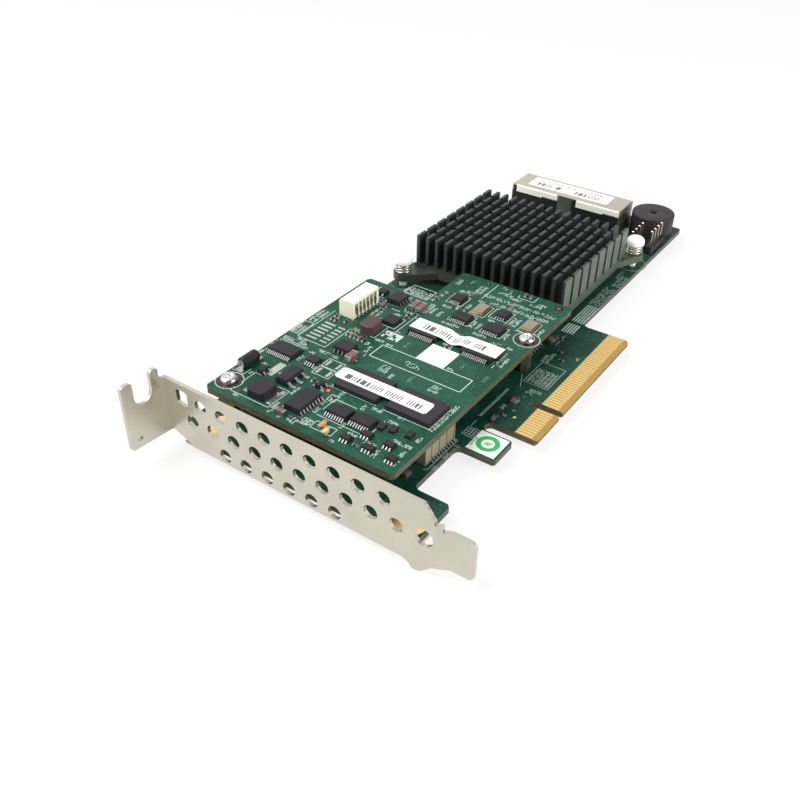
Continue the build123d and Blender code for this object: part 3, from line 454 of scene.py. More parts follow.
def moulding(name, color, roughness=0.5, amount=0.2, coarse=0.15, fine=4.0, relief=0.3, specular=0.5):
    """Moulded resin or plastic: cloudy tone, fine grain in height and roughness."""
    material, tree, shader, mm = start(name, roughness=roughness, Specular_IOR_Level=specular)
    grain = use(tree, GRAIN, Vector=mm, Coarse=coarse, Fine=fine, Amount=amount)
    plug(tree, tinted(tree, color, grain["Tone"]), shader.inputs["Base Color"])
    rough = remap(tree, grain["Height"], 0.3, 0.7, roughness - 0.08, roughness + 0.1)
    plug(tree, rough, shader.inputs["Roughness"])
    bump(tree, shader, grain["Height"], relief)
    return material


def ceramic(name, color, windows):
    """Capacitor ceramic, with another colour in each (x0, x1, y0, y1) window of the board."""
    material, tree, shader, mm = start(name, roughness=0.4, Specular_IOR_Level=0.4)
    grain = use(tree, GRAIN, Vector=mm, Coarse=0.8, Fine=5.0, Amount=0.25)
    x, y, _ = split(tree, mm)
    for (x0, x1, y0, y1), other in windows:
        window = times(tree, inside(tree, x, x0, x1), inside(tree, y, y0, y1))
        color = blend(tree, window, color, other)
    plug(tree, tinted(tree, color, grain["Tone"]), shader.inputs["Base Color"])
    bump(tree, shader, grain["Height"], 0.3)
    return material


def metal(name, color, roughness=0.3, stretch=(0.3, 0.3, 6.0), change=0.12, relief=0.15):
    """Plated or rolled metal: stretched lines, and cloudy changes of tone and roughness."""
    material, tree, shader, mm = start(name, metallic=1.0, roughness=roughness)
    rolled = use(tree, ROLLED, Vector=mm, Stretch=stretch)
    tone = plus(tree, times(tree, minus(tree, rolled["Cloud"], 0.5), change * 2), 1.0)
    plug(tree, tinted(tree, color, tone), shader.inputs["Base Color"])
    rough = remap(tree, rolled["Line"], 0.3, 0.7, roughness - 0.08, roughness + 0.08)
    patches = times(tree, minus(tree, rolled["Cloud"], 0.5), 0.15)
    plug(tree, plus(tree, rough, patches), shader.inputs["Roughness"])
    bump(tree, shader, rolled["Line"], relief, 0.00002)
    return material


VIA_TONE, BARE_LAMINATE = (0.12, 0.22, 0.14, 1), (0.35, 0.22, 0.06, 1)
LABEL_PAPER, LABEL_GREEN = (0.72, 0.88, 0.72, 1), (0.055, 0.36, 0.13, 1)


def board(name, mask, copper, edge, edge_dark, bare=None):
    """Green solder mask over copper, the golden cut edge of the laminate, and bare laminate on the tongue,
    where x is over and y is under the values in bare."""
    material, tree, shader, mm = start(name, roughness=0.42, Specular_IOR_Level=0.2)
    under = use(tree, COPPER, Vector=mm)
    grain = use(tree, GRAIN, Vector=mm, Coarse=0.08, Fine=1.2, Amount=0.22)
    color = blend(tree, times(tree, under["Pour"], 0.35), mask, copper)
    color = blend(tree, times(tree, under["Traces"], 0.45), color, copper)
    color = blend(tree, times(tree, under["Vias"], 0.35), color, VIA_TONE)
    if bare:
        x, y, _ = split(tree, mm)
        tongue = times(tree, above(tree, x, bare[0]), below(tree, y, bare[1]))
        color = blend(tree, tongue, color, BARE_LAMINATE)
    cut = use(tree, LAMINATE, Vector=mm)
    side = blend(tree, remap(tree, cut["Layers"], 0.35, 0.65), edge, edge_dark)
    color = blend(tree, cut["Side"], color, side)
    plug(tree, tinted(tree, color, grain["Tone"]), shader.inputs["Base Color"])
    plug(tree, remap(tree, grain["Height"], 0.3, 0.7, 0.34, 0.5), shader.inputs["Roughness"])
    relief = plus(tree, under["Traces"], times(tree, cut["Layers"], cut["Side"]))
    bump(tree, shader, relief, 0.25, 0.00003)
    return material


def paper_label(name, windows, tint=(0.92, 0.92, 0.91), ink=(0.02, 0.02, 0.025, 1)):
    """White label stock with printed bars in the given windows."""
    material, tree, shader, mm = start(name, roughness=0.55)
    grain = use(tree, GRAIN, Vector=mm, Coarse=0.3, Fine=8.0, Amount=0.04)
    color = tinted(tree, tint, grain["Tone"])
    for x0, x1, y0, y1, cell, share in windows:
        bars = use(tree, BARS, Vector=mm, Low_X=x0, High_X=x1, Low_Y=y0, High_Y=y1, Cell=cell, Share=share)
        color = blend(tree, times(tree, bars["Mask"], 0.9), color, ink)
    plug(tree, color, shader.inputs["Base Color"])
    bump(tree, shader, grain["Height"], 0.1, 0.00002)
    return material


def ring_label(name, centre, inner, outer):
    """A pale label with a plain green ring round its middle."""
    material, tree, shader, mm = start(name, roughness=0.5)
    x, y, _ = split(tree, mm)
    dx, dy = minus(tree, x, centre[0]), minus(tree, y, centre[1])
    square = plus(tree, times(tree, dx, dx), times(tree, dy, dy))
    reach = math(tree, "SQRT", square)
    band = inside(tree, reach, inner, outer)
    core = below(tree, reach, inner * 0.35)
    grain = use(tree, GRAIN, Vector=mm, Coarse=0.8, Fine=6.0, Amount=0.12)
    inked = math(tree, "MAXIMUM", band, times(tree, core, 0.5))
    color = blend(tree, inked, LABEL_PAPER, LABEL_GREEN)
    plug(tree, tinted(tree, color, grain["Tone"]), shader.inputs["Base Color"])
    bump(tree, shader, grain["Height"], 0.1, 0.00002)
    return material


# finishes

solder_mask = board("upper solder mask", (0.006, 0.058, 0.034, 1), (0.018, 0.1, 0.062, 1),
                    (0.13, 0.12, 0.06, 1), (0.05, 0.055, 0.03, 1))
# painted shade: the main board's mask is a darker green than the upper board's, for the lower board lying in
# the shade of the board above
shaded_main_mask = board("main solder mask with painted shade", (0.004, 0.036, 0.024, 1), (0.016, 0.078, 0.05, 1), (0.12, 0.1, 0.06, 1),
                  (0.05, 0.045, 0.03, 1), (43.0, 5.75))
gold = metal("gold plating", (1.0, 0.72, 0.29), 0.3, (0.3, 6.0, 0.3), 0.06)
nickel = metal("nickel sheet", (0.62, 0.58, 0.49), 0.34, (0.4, 0.05, 5.0), 0.12)
cage_nickel = metal("port cage nickel", (0.6, 0.58, 0.47), 0.34, (0.2, 5.0, 0.5), 0.1)
zinc = metal("bright zinc", (0.72, 0.72, 0.74), 0.13, (1.0, 1.0, 1.0), 0.1, 0.04)
tin = metal("tinned lead", (0.42, 0.42, 0.4), 0.36, (4.0, 4.0, 4.0), 0.25)
fine_tin = metal("fine tinned lead", (0.2, 0.2, 0.195), 0.42, (4.0, 4.0, 4.0), 0.3)
pad_tin = metal("bare tinned pad", (0.56, 0.6, 0.5), 0.42, (2.0, 2.0, 2.0), 0.3)
red_copper = metal("aiming mark copper", (0.75, 0.3, 0.22), 0.4, (2.0, 2.0, 2.0), 0.2)
brass = metal("plated brass", (0.36, 0.31, 0.2), 0.35, (0.5, 0.5, 5.0), 0.3)
spring_steel = metal("spring wire", (0.72, 0.7, 0.6), 0.2, (3.0, 3.0, 3.0), 0.1)
pin_plating = metal("header pin plating", (0.6, 0.52, 0.4), 0.3, (3.0, 3.0, 0.5), 0.2)
ring_copper = metal("screw ring copper", (0.1, 0.07, 0.055), 0.38, (3.0, 3.0, 3.0), 0.3)
oscillator_gold = metal("oscillator lid", (0.42, 0.36, 0.25), 0.33, (0.5, 5.0, 0.5), 0.15)
resin = moulding("chip resin", (0.018, 0.015, 0.019), 0.5, 0.35, 0.2, 3.5, 0.5, 0.3)
resin_violet = moulding("flash resin", (0.022, 0.019, 0.026), 0.5, 0.3, 0.15, 3.0, 0.5, 0.3)
ferrite = moulding("brown ferrite", (0.07, 0.045, 0.045), 0.5, 0.3, 0.4, 3.0, 0.6, 0.35)
straw_window, amber_window = (9.8, 12.4, 32.2, 34.2), (11.2, 13.6, 34.3, 36.2)
cap_brown = ceramic("capacitor ceramic", (0.17, 0.09, 0.07, 1),
                    [(straw_window, (0.55, 0.5, 0.2, 1)), (amber_window, (0.55, 0.27, 0.06, 1))])
cream = moulding("cream nylon", (0.95, 0.91, 0.7), 0.42, 0.06, 0.3, 3.0, 0.2)
beige = moulding("beige nylon", (0.25, 0.23, 0.15), 0.45, 0.12, 0.3, 3.0, 0.2, 0.35)
ivory = moulding("ivory nylon", (0.9, 0.89, 0.8), 0.4, 0.05, 0.3, 3.0, 0.2)
white_nylon = moulding("white nylon", (0.97, 0.97, 0.96), 0.45, 0.02, 0.3, 3.0, 0.1)
black_nylon = moulding("black nylon", (0.014, 0.013, 0.015), 0.5, 0.3, 0.4, 3.0, 0.3, 0.3)
sounder_black = moulding("sounder case", (0.026, 0.019, 0.022), 0.5, 0.2, 0.3, 2.5, 0.4, 0.35)
mark_grey = moulding("sounder mark", (0.006, 0.005, 0.006), 0.6, 0.2, 0.5, 3.0, 0.1, 0.2)
label_green = moulding("label ink", (0.05, 0.3, 0.12), 0.6, 0.2, 0.8, 6.0, 0.1, 0.3)
label_ink = moulding("grey label ink", (0.12, 0.12, 0.12), 0.6, 0.2, 0.8, 6.0, 0.1, 0.3)
pad_grey = moulding("thermal pad", (0.3, 0.32, 0.34), 0.8, 0.2, 0.3, 2.0, 0.5)
silk = moulding("white silk print", (0.6, 0.7, 0.63), 0.6, 0.25, 1.5, 8.0, 0.1, 0.2)
silk_low = moulding("main board print", (0.36, 0.46, 0.4), 0.6, 0.3, 1.5, 8.0, 0.1, 0.2)
# dim print for the faint marks on the upper board, and painted shade on the arcs round the far push pin
dim_print_and_shade = moulding("dim silk print and painted shade", (0.2, 0.3, 0.24), 0.6, 0.3, 1.5, 8.0, 0.1, 0.2)
# painted shade: a near-black green for the strips under the fine leads
lead_shade = moulding("painted shade between leads", (0.004, 0.02, 0.014), 0.6, 0.3, 1.5, 8.0, 0.1, 0.15)
via_green = moulding("tented via", (0.03, 0.14, 0.09), 0.5, 0.3, 1.5, 8.0, 0.1, 0.2)


def anodised(name, color, face_y, slot_floor):
    """Black anodised aluminium: saw lines down the pins, a painted highlight that makes the outer face paler
    and greener, and a painted sheen that makes the base below the slot floor paler and greener.
    """
    material, tree, shader, mm = start(name, metallic=0.5, roughness=0.42, Specular_IOR_Level=0.35)
    rolled = use(tree, ROLLED, Vector=mm, Stretch=(2.0, 0.3, 6.0))
    tone = remap(tree, rolled["Line"], 0.25, 0.75, 0.85, 1.15)
    _, y, z = split(tree, mm)
    # painted highlight: the outer -Y face, which the fill lamp lights, is painted paler and greener
    outer = below(tree, y, face_y + 0.15)
    color = blend(tree, outer, color, (0.12, 0.15, 0.11, 1))
    # painted sheen: the base and ears below the slot floor are painted paler and greener, for their lit upper
    # faces
    low = below(tree, z, slot_floor - 0.05)
    color = blend(tree, times(tree, low, 0.7), color, (0.085, 0.115, 0.075, 1))
    plug(tree, tinted(tree, color, tone), shader.inputs["Base Color"])
    plug(tree, remap(tree, rolled["Cloud"], 0.3, 0.7, 0.36, 0.5), shader.inputs["Roughness"])
    bump(tree, shader, rolled["Line"], 0.2, 0.00003)
    return material


sink_black = anodised("black anodising", (0.05, 0.058, 0.055, 1), 18.0, 6.4)

flat_low, flat_high = span("flat_label")
sag_low, sag_high = span("sagging_label")
port_low, _ = span("port_label")
hook_low, hook_high = span("hook_label")
flat_print = paper_label("flat label print", [
    (flat_low[0] + 0.7, flat_high[0] - 1.7, flat_low[1] + 2.0, flat_high[1] - 1.6, 0.33, 0.5)])
sag_print = paper_label("sagging label print", [
    (sag_low[0] + 0.9, sag_high[0] - 1.6, sag_low[1] + 4.0, sag_high[1] - 3.0, 0.33, 0.45)])
port_x, port_y = port_low[:2]
port_print = paper_label("port label print", [
    (port_x + 1.0, port_x + 3.4, port_y + 3.6, port_y + 12.6, 0.4, 0.5),
    (port_x + 1.0, port_x + 3.4, port_y + 16.4, port_y + 25.4, 0.4, 0.5),
    (port_x + 4.6, port_x + 5.4, port_y + 3.6, port_y + 24.0, 0.6, 0.4)], ink=(0.12, 0.12, 0.12, 1))
plain_print = paper_label("square label", [])
hook_middle = (hook_low[:2] + hook_high[:2]) / 2 + (0.15, 0.0)
ring_print = ring_label("hook label print", hook_middle, 1.55, 2.75)

finish_of = {
    "main_board": shaded_main_mask, "cache_board": solder_mask, "edge_contacts": gold, "ground_pads": gold,
    "bracket": nickel, "bracket_screws": zinc, "post_screws": zinc, "lower_screws": zinc,
    "controller_chip": resin, "thermal_pad": pad_grey, "heatsink": sink_black, "push_pins": white_nylon,
    "pin_springs": spring_steel, "board_posts": brass, "link_socket": beige, "link_plug": beige,
    "link_leads": tin, "cable_header": cream, "header_contacts": tin, "flash_chips": resin_violet,
    "dram_chips": resin, "dram_leads": fine_tin, "flat_label": flat_print, "sagging_label": sag_print,
    "square_label": plain_print, "hook_label": ring_print, "chip_bodies": resin, "chip_leads_long": tin,
    "chip_leads_cross": fine_tin, "power_choke": resin, "choke_terminals": tin, "power_transistor": resin,
    "transistor_leads": tin, "drum_choke": ferrite, "round_diode": black_nylon, "diode_caps": tin,
    "oscillators": oscillator_gold, "capacitor_bodies": cap_brown, "capacitor_ends": tin,
    "regulator_bodies": resin, "regulator_leads": fine_tin, "cache_memories": resin_violet,
    "monitor_chip": resin, "monitor_leads": tin, "port_bodies": black_nylon, "port_contacts": gold,
    "port_cage": cage_nickel, "port_bars": ivory, "port_label": port_print, "sounder": sounder_black,
    "sounder_legs": tin, "header_bases": black_nylon, "header_pins": pin_plating, "header_tails": tin
}
for node, material in finish_of.items():
    for holder in nodes[node].material_slots:
        holder.material = material


# smooth forms of the turned and coiled parts

def domed_screws(centres, base, radius, rise, recess):
    """Screw heads on a polar grid: height = base + rise (1/4 + 3/4 (1 - (r / radius)^2.4)^(1/2)), less the
    recess inside a cross, whose arms are where the smaller of |x|, |y| stays under about 0.3 mm. A last row
    at the base and one at its middle close the underside."""
    r = np.concatenate([np.linspace(0, 0.98, 26), [0.995, 1.0]]) * radius
    angle = np.linspace(0, 2 * np.pi, 72, endpoint=False)
    x, y = np.cos(angle)[:, None] * r, np.sin(angle)[:, None] * r
    z = base + rise * (0.25 + 0.75 * np.sqrt(np.clip(1 - (r / radius) ** 2.4, 0, 1))) + 0 * x
    thin, long = np.minimum(abs(x), abs(y)), np.maximum(abs(x), abs(y))
    arm = np.clip((0.34 - thin) / 0.12, 0, 1) * np.clip((radius * 0.52 - long) / 0.2, 0, 1)
    z = z - recess * arm
    foot = np.stack([x[:, -1], y[:, -1], np.full(len(angle), base)], 1)[:, None]
    one = np.concatenate([np.stack([x, y, z], 2), foot, foot * (0, 0, 1)], 1)
    return stood(one.reshape(-1, 3), lattice(*one.shape[:2])[:, [0, 3, 2, 1]], centres)


def coil(centre, radius, low, high, turns, wire):
    """A round wire along a helix: the centre line turns evenly while it climbs, with its end turns flattened,
    and each point is the line's point + wire (cos b * outward + sin b * up). The wire runs out to nothing at
    its two ends, which closes them."""
    s = np.linspace(0, 1, int(turns * 36))
    a = 2 * np.pi * turns * s
    climb = np.clip((s - 0.12) / 0.76, 0, 1)
    line_z = low + wire + (high - low - 2 * wire) * climb
    sides = 10
    b = np.linspace(0, 2 * np.pi, sides, endpoint=False)
    thick = wire * np.clip(np.minimum(s, 1 - s) / 0.004, 0, 1)[:, None]
    reach = radius + thick * np.cos(b)
    x = centre[0] + np.cos(a)[:, None] * reach
    y = centre[1] + np.sin(a)[:, None] * reach
    z = line_z[:, None] + thick * np.sin(b)
    faces = lattice(len(s), sides, closed_rows=False, closed_columns=True)
    return np.stack([x, y, z], 2).reshape(-1, 3), faces[:, [0, 3, 2, 1]]


def two_spots(node, reach):
    """Centres of two round parts of one radius that stand at opposite corners of a node's box."""
    low, high = span(node)
    return np.array([(low[0] + reach, high[1] - reach), (high[0] - reach, low[1] + reach)])


head_r = 2.05
screw_spots = two_spots("post_screws", head_r)
_, screw_high = span("post_screws")
head_rise, recess_deep = screw_high[2] - deck - 0.03, 0.55
heads = piece("domed_screw_heads", *domed_screws(screw_spots, deck, head_r, head_rise, recess_deep),
              zinc, "post_screws", smooth=True)
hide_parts("post_screws")

cap_r, shank_r, tip_r = 2.6, 1.2, 1.75
pin_low, pin_high = span("push_pins")
pin_spots = two_spots("push_pins", cap_r)
spring_low, spring_high = span("pin_springs")
cap_base = spring_high[2] + 0.03
cap_top = pin_high[2]
cap_profile = rounded([
    (0, cap_top), (1.9, cap_top), (cap_r, cap_top - 0.85), (cap_r, cap_base), (shank_r, cap_base),
    (shank_r, 0), (tip_r, -0.05), (tip_r, -0.7), (0.7, pin_low[2]), (0, pin_low[2])], 0.5)
pins = piece("turned_push_pins", *turned(pin_spots, cap_profile, 48), white_nylon, "push_pins", smooth=True)
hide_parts("push_pins")
spring_r, spring_turns, wire_r = 2.12, 3.3, 0.23
coils = [coil(spot, spring_r, spring_low[2], spring_high[2], spring_turns, wire_r) for spot in pin_spots]
springs = piece("coil_springs", *joined(*coils), spring_steel, "pin_springs", smooth=True)
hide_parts("pin_springs")

can_low, can_high = span("sounder")
can_middle, can_r = (can_low[:2] + can_high[:2]) / 2, (can_high[0] - can_low[0]) / 2
can_top, hole_r, hole_deep = can_high[2], 1.1, 2.4
can_profile = rounded([(0, can_top - hole_deep), (hole_r, can_top - hole_deep), (hole_r, can_top),
                       (can_r, can_top), (can_r, can_low[2]), (0, can_low[2])], 0.45)
can = piece("sounder_can", *turned([can_middle], can_profile, 96), sounder_black, "sounder", smooth=True)
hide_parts("sounder")
bend = np.linspace(-2.4, 1.2, 13)
arc = np.stack([can_middle[0] + 1.6 + 1.5 * np.cos(bend), can_middle[1] - 2.6 + 1.5 * np.sin(bend)], 1)
piece("sounder_arc_mark", *strokes(np.hstack([arc[:-1], arc[1:]]), 0.3, can_top, 0.02), mark_grey, "sounder")


# silk print on the upper board

def framed(boxes):
    """The runs round each (x0, y0, x1, y1) box of a list."""
    return [run for box in boxes for run in outline(*box)]


def marked(rows):
    """Small marks for each (x, y, count, height, turn) row of a list."""
    return [run for row in rows for run in tick_marks(*row)]


boxes_above = [
    (40.15, 18.1, 45.7, 43.4), (26.7, 45.2, 29.9, 50.0), (30.2, 45.2, 33.6, 50.0),
    (10.8, 34.6, 13.3, 37.3), (10.8, 31.8, 13.3, 34.3), (10.6, 38.5, 12.7, 40.1),
    (20.5, 38.6, 22.7, 40.6), (69.8, 46.8, 74.6, 53.8), (65.0, 31.4, 69.9, 37.4),
    (64.7, 22.0, 69.8, 27.8), (70.8, 30.4, 76.6, 34.6), (70.9, 16.4, 76.7, 20.5),
    (72.4, 37.8, 77.4, 42.6), (72.2, 24.4, 77.2, 29.6), (53.2, 45.4, 58.2, 50.4), (37.4, 63.0, 43.4, 65.6)]
runs_above = [
    (10.6, 60.2, 19.0, 60.2), (10.6, 49.0, 10.6, 60.2), (10.6, 49.0, 17.8, 49.0),
    (17.8, 49.0, 17.8, 52.3), (19.0, 60.2, 19.0, 58.4), (16.9, 62.0, 16.9, 65.6),
    (16.9, 62.0, 19.6, 62.0), (36.7, 54.1, 36.7, 62.6), (36.7, 54.1, 46.6, 54.1),
    (36.7, 62.6, 51.6, 62.6), (25.0, 43.3, 25.0, 30.2), (24.8, 28.4, 24.8, 16.2),
    (24.8, 16.2, 33.8, 16.2), (21.7, 38.4, 21.7, 33.0), (17.2, 38.9, 21.7, 38.9),
    (17.2, 32.7, 19.8, 32.7), (46.9, 47.0, 53.0, 47.0), (48.4, 44.3, 62.6, 44.3),
    (62.8, 50.4, 62.8, 57.4), (62.8, 57.4, 64.4, 57.4), (85.2, 23.6, 85.2, 28.2),
    (85.2, 28.2, 86.6, 28.2), (85.2, 23.6, 88.4, 23.6), (52.6, 17.2, 60.4, 17.2),
    (60.6, 44.0, 60.6, 32.6), (52.6, 43.0, 52.6, 44.2), (33.9, 57.0, 33.9, 64.8),
    (23.4, 64.9, 26.2, 64.9), (33.3, 64.8, 33.3, 57.2), (26.0, 64.9, 33.3, 64.9),
    (64.0, 56.2, 64.0, 60.4), (64.0, 60.4, 68.6, 60.4), (64.2, 43.4, 68.9, 43.4),
    (62.2, 48.4, 68.6, 48.4), (47.0, 53.9, 47.0, 47.0), (15.0, 38.9, 15.0, 25.6),
    (13.9, 25.4, 21.6, 25.4), (9.2, 41.0, 12.0, 41.0), (22.4, 44.0, 22.4, 42.8), (52.2, 33.2, 53.0, 33.2),
    (79.0, 35.6, 88.0, 35.6), (70.6, 16.0, 70.6, 20.9), (79.4, 38.4, 79.4, 42.4),
    (38.9, 44.3, 40.1, 44.3), (35.2, 54.6, 35.2, 51.0), (46.8, 62.6, 46.8, 65.4), (60.9, 49.0, 60.9, 51.6)]
rows_above = [
    (28.6, 55.3, 3, 0.9, 0), (34.2, 65.0, 4, 0.9, 3), (35.5, 61.8, 4, 0.9, 3), (34.3, 60.4, 3, 0.9, 3),
    (34.4, 53.9, 3, 0.8, 3), (34.4, 50.4, 3, 0.8, 3), (9.4, 47.3, 3, 0.9, 0), (9.3, 44.6, 4, 0.7, 0),
    (15.2, 39.4, 3, 0.8, 0), (18.3, 40.0, 3, 0.7, 0), (23.0, 38.6, 3, 0.8, 0), (10.9, 38.8, 2, 0.9, 0),
    (10.8, 37.5, 3, 0.8, 0), (14.2, 31.6, 3, 0.8, 0), (22.0, 31.6, 3, 0.8, 0), (23.5, 30.4, 4, 0.8, 3),
    (13.6, 29.4, 4, 0.7, 3), (13.4, 25.0, 5, 0.7, 3), (21.8, 24.8, 4, 0.8, 3), (10.4, 20.3, 4, 0.8, 0),
    (10.8, 15.2, 3, 0.8, 0), (14.0, 15.7, 3, 0.8, 0), (17.0, 20.2, 6, 0.9, 3), (19.8, 15.5, 3, 0.8, 0),
    (24.6, 15.1, 14, 0.9, 0), (35.2, 33.7, 3, 0.8, 0), (36.4, 38.3, 3, 1.0, 3), (37.7, 38.1, 2, 1.3, 3),
    (36.5, 24.4, 3, 1.0, 3), (37.8, 24.2, 2, 1.3, 3), (41.7, 34.6, 3, 1.7, 3), (40.8, 44.7, 4, 0.8, 0),
    (43.4, 46.4, 2, 0.8, 0), (46.4, 46.6, 4, 0.8, 3), (37.8, 64.7, 6, 0.7, 0), (37.8, 63.5, 6, 0.7, 0),
    (44.0, 64.7, 4, 0.7, 0), (44.0, 63.4, 4, 0.7, 0), (47.2, 64.7, 5, 0.7, 0), (47.2, 63.4, 5, 0.7, 0),
    (53.0, 50.8, 4, 0.8, 0), (59.0, 49.6, 3, 0.8, 3), (61.4, 48.0, 4, 0.8, 3), (64.8, 39.8, 4, 0.8, 0),
    (69.8, 41.9, 3, 0.9, 3), (73.8, 44.4, 4, 0.9, 0), (81.6, 44.4, 4, 0.9, 0), (78.0, 41.2, 3, 0.8, 0),
    (79.6, 40.4, 3, 0.9, 3), (62.9, 38.2, 7, 0.9, 3), (62.9, 28.6, 5, 0.9, 3), (61.6, 22.6, 4, 0.9, 3),
    (64.9, 30.3, 5, 0.8, 0), (65.2, 28.7, 5, 0.7, 0), (71.6, 22.9, 6, 0.8, 0), (71.6, 21.6, 6, 0.8, 0),
    (64.9, 20.8, 5, 0.8, 0), (70.4, 28.8, 3, 0.8, 3), (78.1, 32.6, 16, 1.2, 3), (80.7, 36.0, 20, 1.2, 3),
    (80.8, 38.2, 7, 0.7, 0), (80.8, 37.0, 7, 0.7, 0), (84.2, 33.6, 5, 1.0, 3), (86.9, 33.8, 2, 0.9, 3),
    (84.6, 22.0, 3, 0.9, 3), (63.8, 43.7, 7, 0.9, 0), (62.4, 54.2, 5, 0.8, 3), (60.8, 57.0, 3, 0.8, 3),
    (70.6, 45.2, 4, 0.8, 0), (54.2, 15.4, 7, 0.7, 0), (70.2, 53.9, 5, 0.7, 0), (28.0, 50.4, 4, 0.7, 0)]
rows_above += [(70.2, 47.2 + 1.05 * k, 5, 0.75, 0) for k in range(6)]
rows_above += [
    (26.0, 65.0, 2, 0.7, 0), (30.2, 65.0, 4, 0.7, 0), (32.7, 55.9, 3, 0.7, 3), (17.8, 60.6, 2, 0.7, 0),
    (22.6, 61.6, 3, 0.7, 3), (9.6, 58.6, 3, 0.7, 3), (11.0, 47.9, 5, 0.6, 0), (17.4, 47.9, 6, 0.6, 0),
    (25.4, 42.9, 3, 0.7, 3), (36.0, 45.9, 3, 0.7, 3), (45.1, 53.9, 4, 0.7, 3), (47.3, 53.6, 3, 0.7, 3),
    (55.0, 53.8, 6, 0.7, 0), (55.4, 52.4, 5, 0.7, 0), (51.9, 60.2, 4, 0.7, 3), (62.8, 61.8, 4, 0.8, 3),
    (64.4, 62.6, 3, 0.8, 3), (66.4, 62.6, 4, 0.8, 3), (67.8, 52.6, 4, 0.7, 3), (59.2, 58.6, 3, 0.7, 3),
    (46.2, 42.9, 3, 0.7, 3), (46.2, 25.4, 3, 0.7, 3), (62.0, 18.4, 3, 0.7, 3), (77.4, 35.6, 3, 0.7, 3),
    (77.6, 21.4, 3, 0.7, 3), (72.4, 35.8, 4, 0.7, 0), (70.4, 37.9, 3, 0.7, 0), (83.4, 29.6, 5, 0.8, 3),
    (83.4, 23.8, 5, 0.8, 3), (71.4, 14.8, 6, 0.7, 0), (65.0, 42.1, 5, 0.7, 0), (54.6, 32.0, 3, 0.6, 3),
    (9.4, 41.6, 4, 0.6, 0), (24.2, 23.9, 3, 0.7, 3), (9.4, 31.0, 2, 0.6, 3)]
faint_above = [(x, y, 4, 0.7, 0) for x, y in (
    (48.0, 38.4), (48.2, 22.6), (62.4, 34.2), (84.2, 41.6), (56.4, 16.6), (36.6, 29.6), (46.8, 15.6),
    (20.0, 36.8))]
bold, plain = framed(boxes_above[:1]), framed(boxes_above[1:]) + runs_above
piece("upper_silk_print", *joined(
    strokes(bold, 0.2, deck), strokes(plain, 0.15, deck), strokes(marked(rows_above), 0.12, deck),
    rings(screw_spots, 3.2, 3.36, deck, 0.02, 48)), silk, "cache_board")
piece("faint_upper_print", *strokes(marked(faint_above), 0.1, deck, 0.015), dim_print_and_shade, "cache_board")
piece("screw_rings", *rings(screw_spots, 1.2, 2.95, deck, 0.03, 48), ring_copper, "ground_pads")


# small chip resistors and capacitors

def passives(centres, along_y, size):
    """Bodies, and tinned ends with their solder feet, of chip parts: the body is the middle 60 percent of
    each part's length."""
    centres = np.atleast_2d(centres).astype(float)
    along_y = np.full((len(centres), 1), along_y)
    length, width, height = size
    half = np.where(along_y, [[width / 2, length / 2]], [[length / 2, width / 2]])
    way = np.where(along_y, [[0.0, 1.0]], [[1.0, 0.0]])
    body_half = half - way * length * 0.2
    top = centres[:, 2:3] + height
    spot, base = centres[:, :2], centres[:, 2:3]
    body = blocks(np.hstack([spot - body_half, base]), np.hstack([spot + body_half, top]))
    metal_parts = []
    end_cap = (0.4, way * length * 0.1 + 0.02, top + 0.02)
    solder_foot = (0.5, way * 0.25 + 0.06, base + 0.06)
    for out, reach, high in (end_cap, solder_foot):
        reach = reach + half * (1 - way)
        for side in (-1, 1):
            mid = spot + side * way * length * out
            metal_parts.append(blocks(np.hstack([mid - reach, base]), np.hstack([mid + reach, high])))
    return body, joined(*metal_parts)


def grid(x, y, across, up, dx, dy, level):
    """Centres of a small grid of parts that starts at (x, y)."""
    i, j = np.meshgrid(np.arange(across), np.arange(up), indexing="ij")
    return np.stack([x + i * dx, y + j * dy, np.full(i.shape, level)], 2).reshape(-1, 3)


def laid(spots, level):
    """Centres from a list of (x, y) places on one board."""
    return np.array([(x, y, level) for x, y in spots])


dark_across = laid([
    (21.6, 39.6), (44.4, 53.2), (44.4, 50.8), (44.4, 48.4), (48.0, 60.9), (48.0, 59.7), (49.7, 60.9),
    (48.8, 57.2), (60.9, 53.0), (60.9, 46.6), (63.2, 48.5), (61.2, 61.4), (70.9, 39.6), (79.3, 39.0),
    (53.8, 30.6), (71.4, 35.9), (79.2, 28.4), (11.2, 40.6), (10.4, 42.6), (24.4, 47.6), (35.6, 58.8)], deck)
dark_along = laid([
    (46.2, 51.6), (46.2, 49.2), (49.8, 55.2), (62.0, 44.9), (59.4, 45.8), (58.9, 53.4), (54.4, 17.2),
    (56.6, 17.4), (11.4, 25.6), (60.4, 30.6), (72.0, 45.0), (86.9, 37.4)], deck)
tan_across = laid([
    (44.4, 52.0), (44.4, 49.6), (49.7, 59.7), (86.4, 30.7), (87.2, 26.9), (87.2, 25.2), (53.9, 29.2),
    (60.9, 54.4), (78.9, 26.6)], deck)
tan_along = laid([(46.2, 53.4), (61.9, 20.4), (71.2, 23.6), (62.2, 60.0)], deck)
dark_low = laid([
    (47.6, 12.3), (48.9, 11.6), (55.2, 12.6), (56.5, 11.7), (86.0, 14.9), (87.2, 15.6), (77.2, 10.4),
    (80.6, 12.4), (148.9, 18.1), (150.4, 18.1), (153.6, 18.2), (154.9, 18.2), (153.6, 23.6),
    (153.6, 25.4), (149.6, 22.7), (147.6, 24.6), (164.0, 29.6), (164.8, 31.8)], card_top)
tan_low = laid([
    (144.6, 18.1), (147.0, 18.1), (153.8, 20.0), (153.8, 21.8), (149.4, 26.6), (166.4, 28.6)], card_top)
chip_r, chip_c = (1.0, 0.55, 0.35), (1.1, 0.65, 0.5)
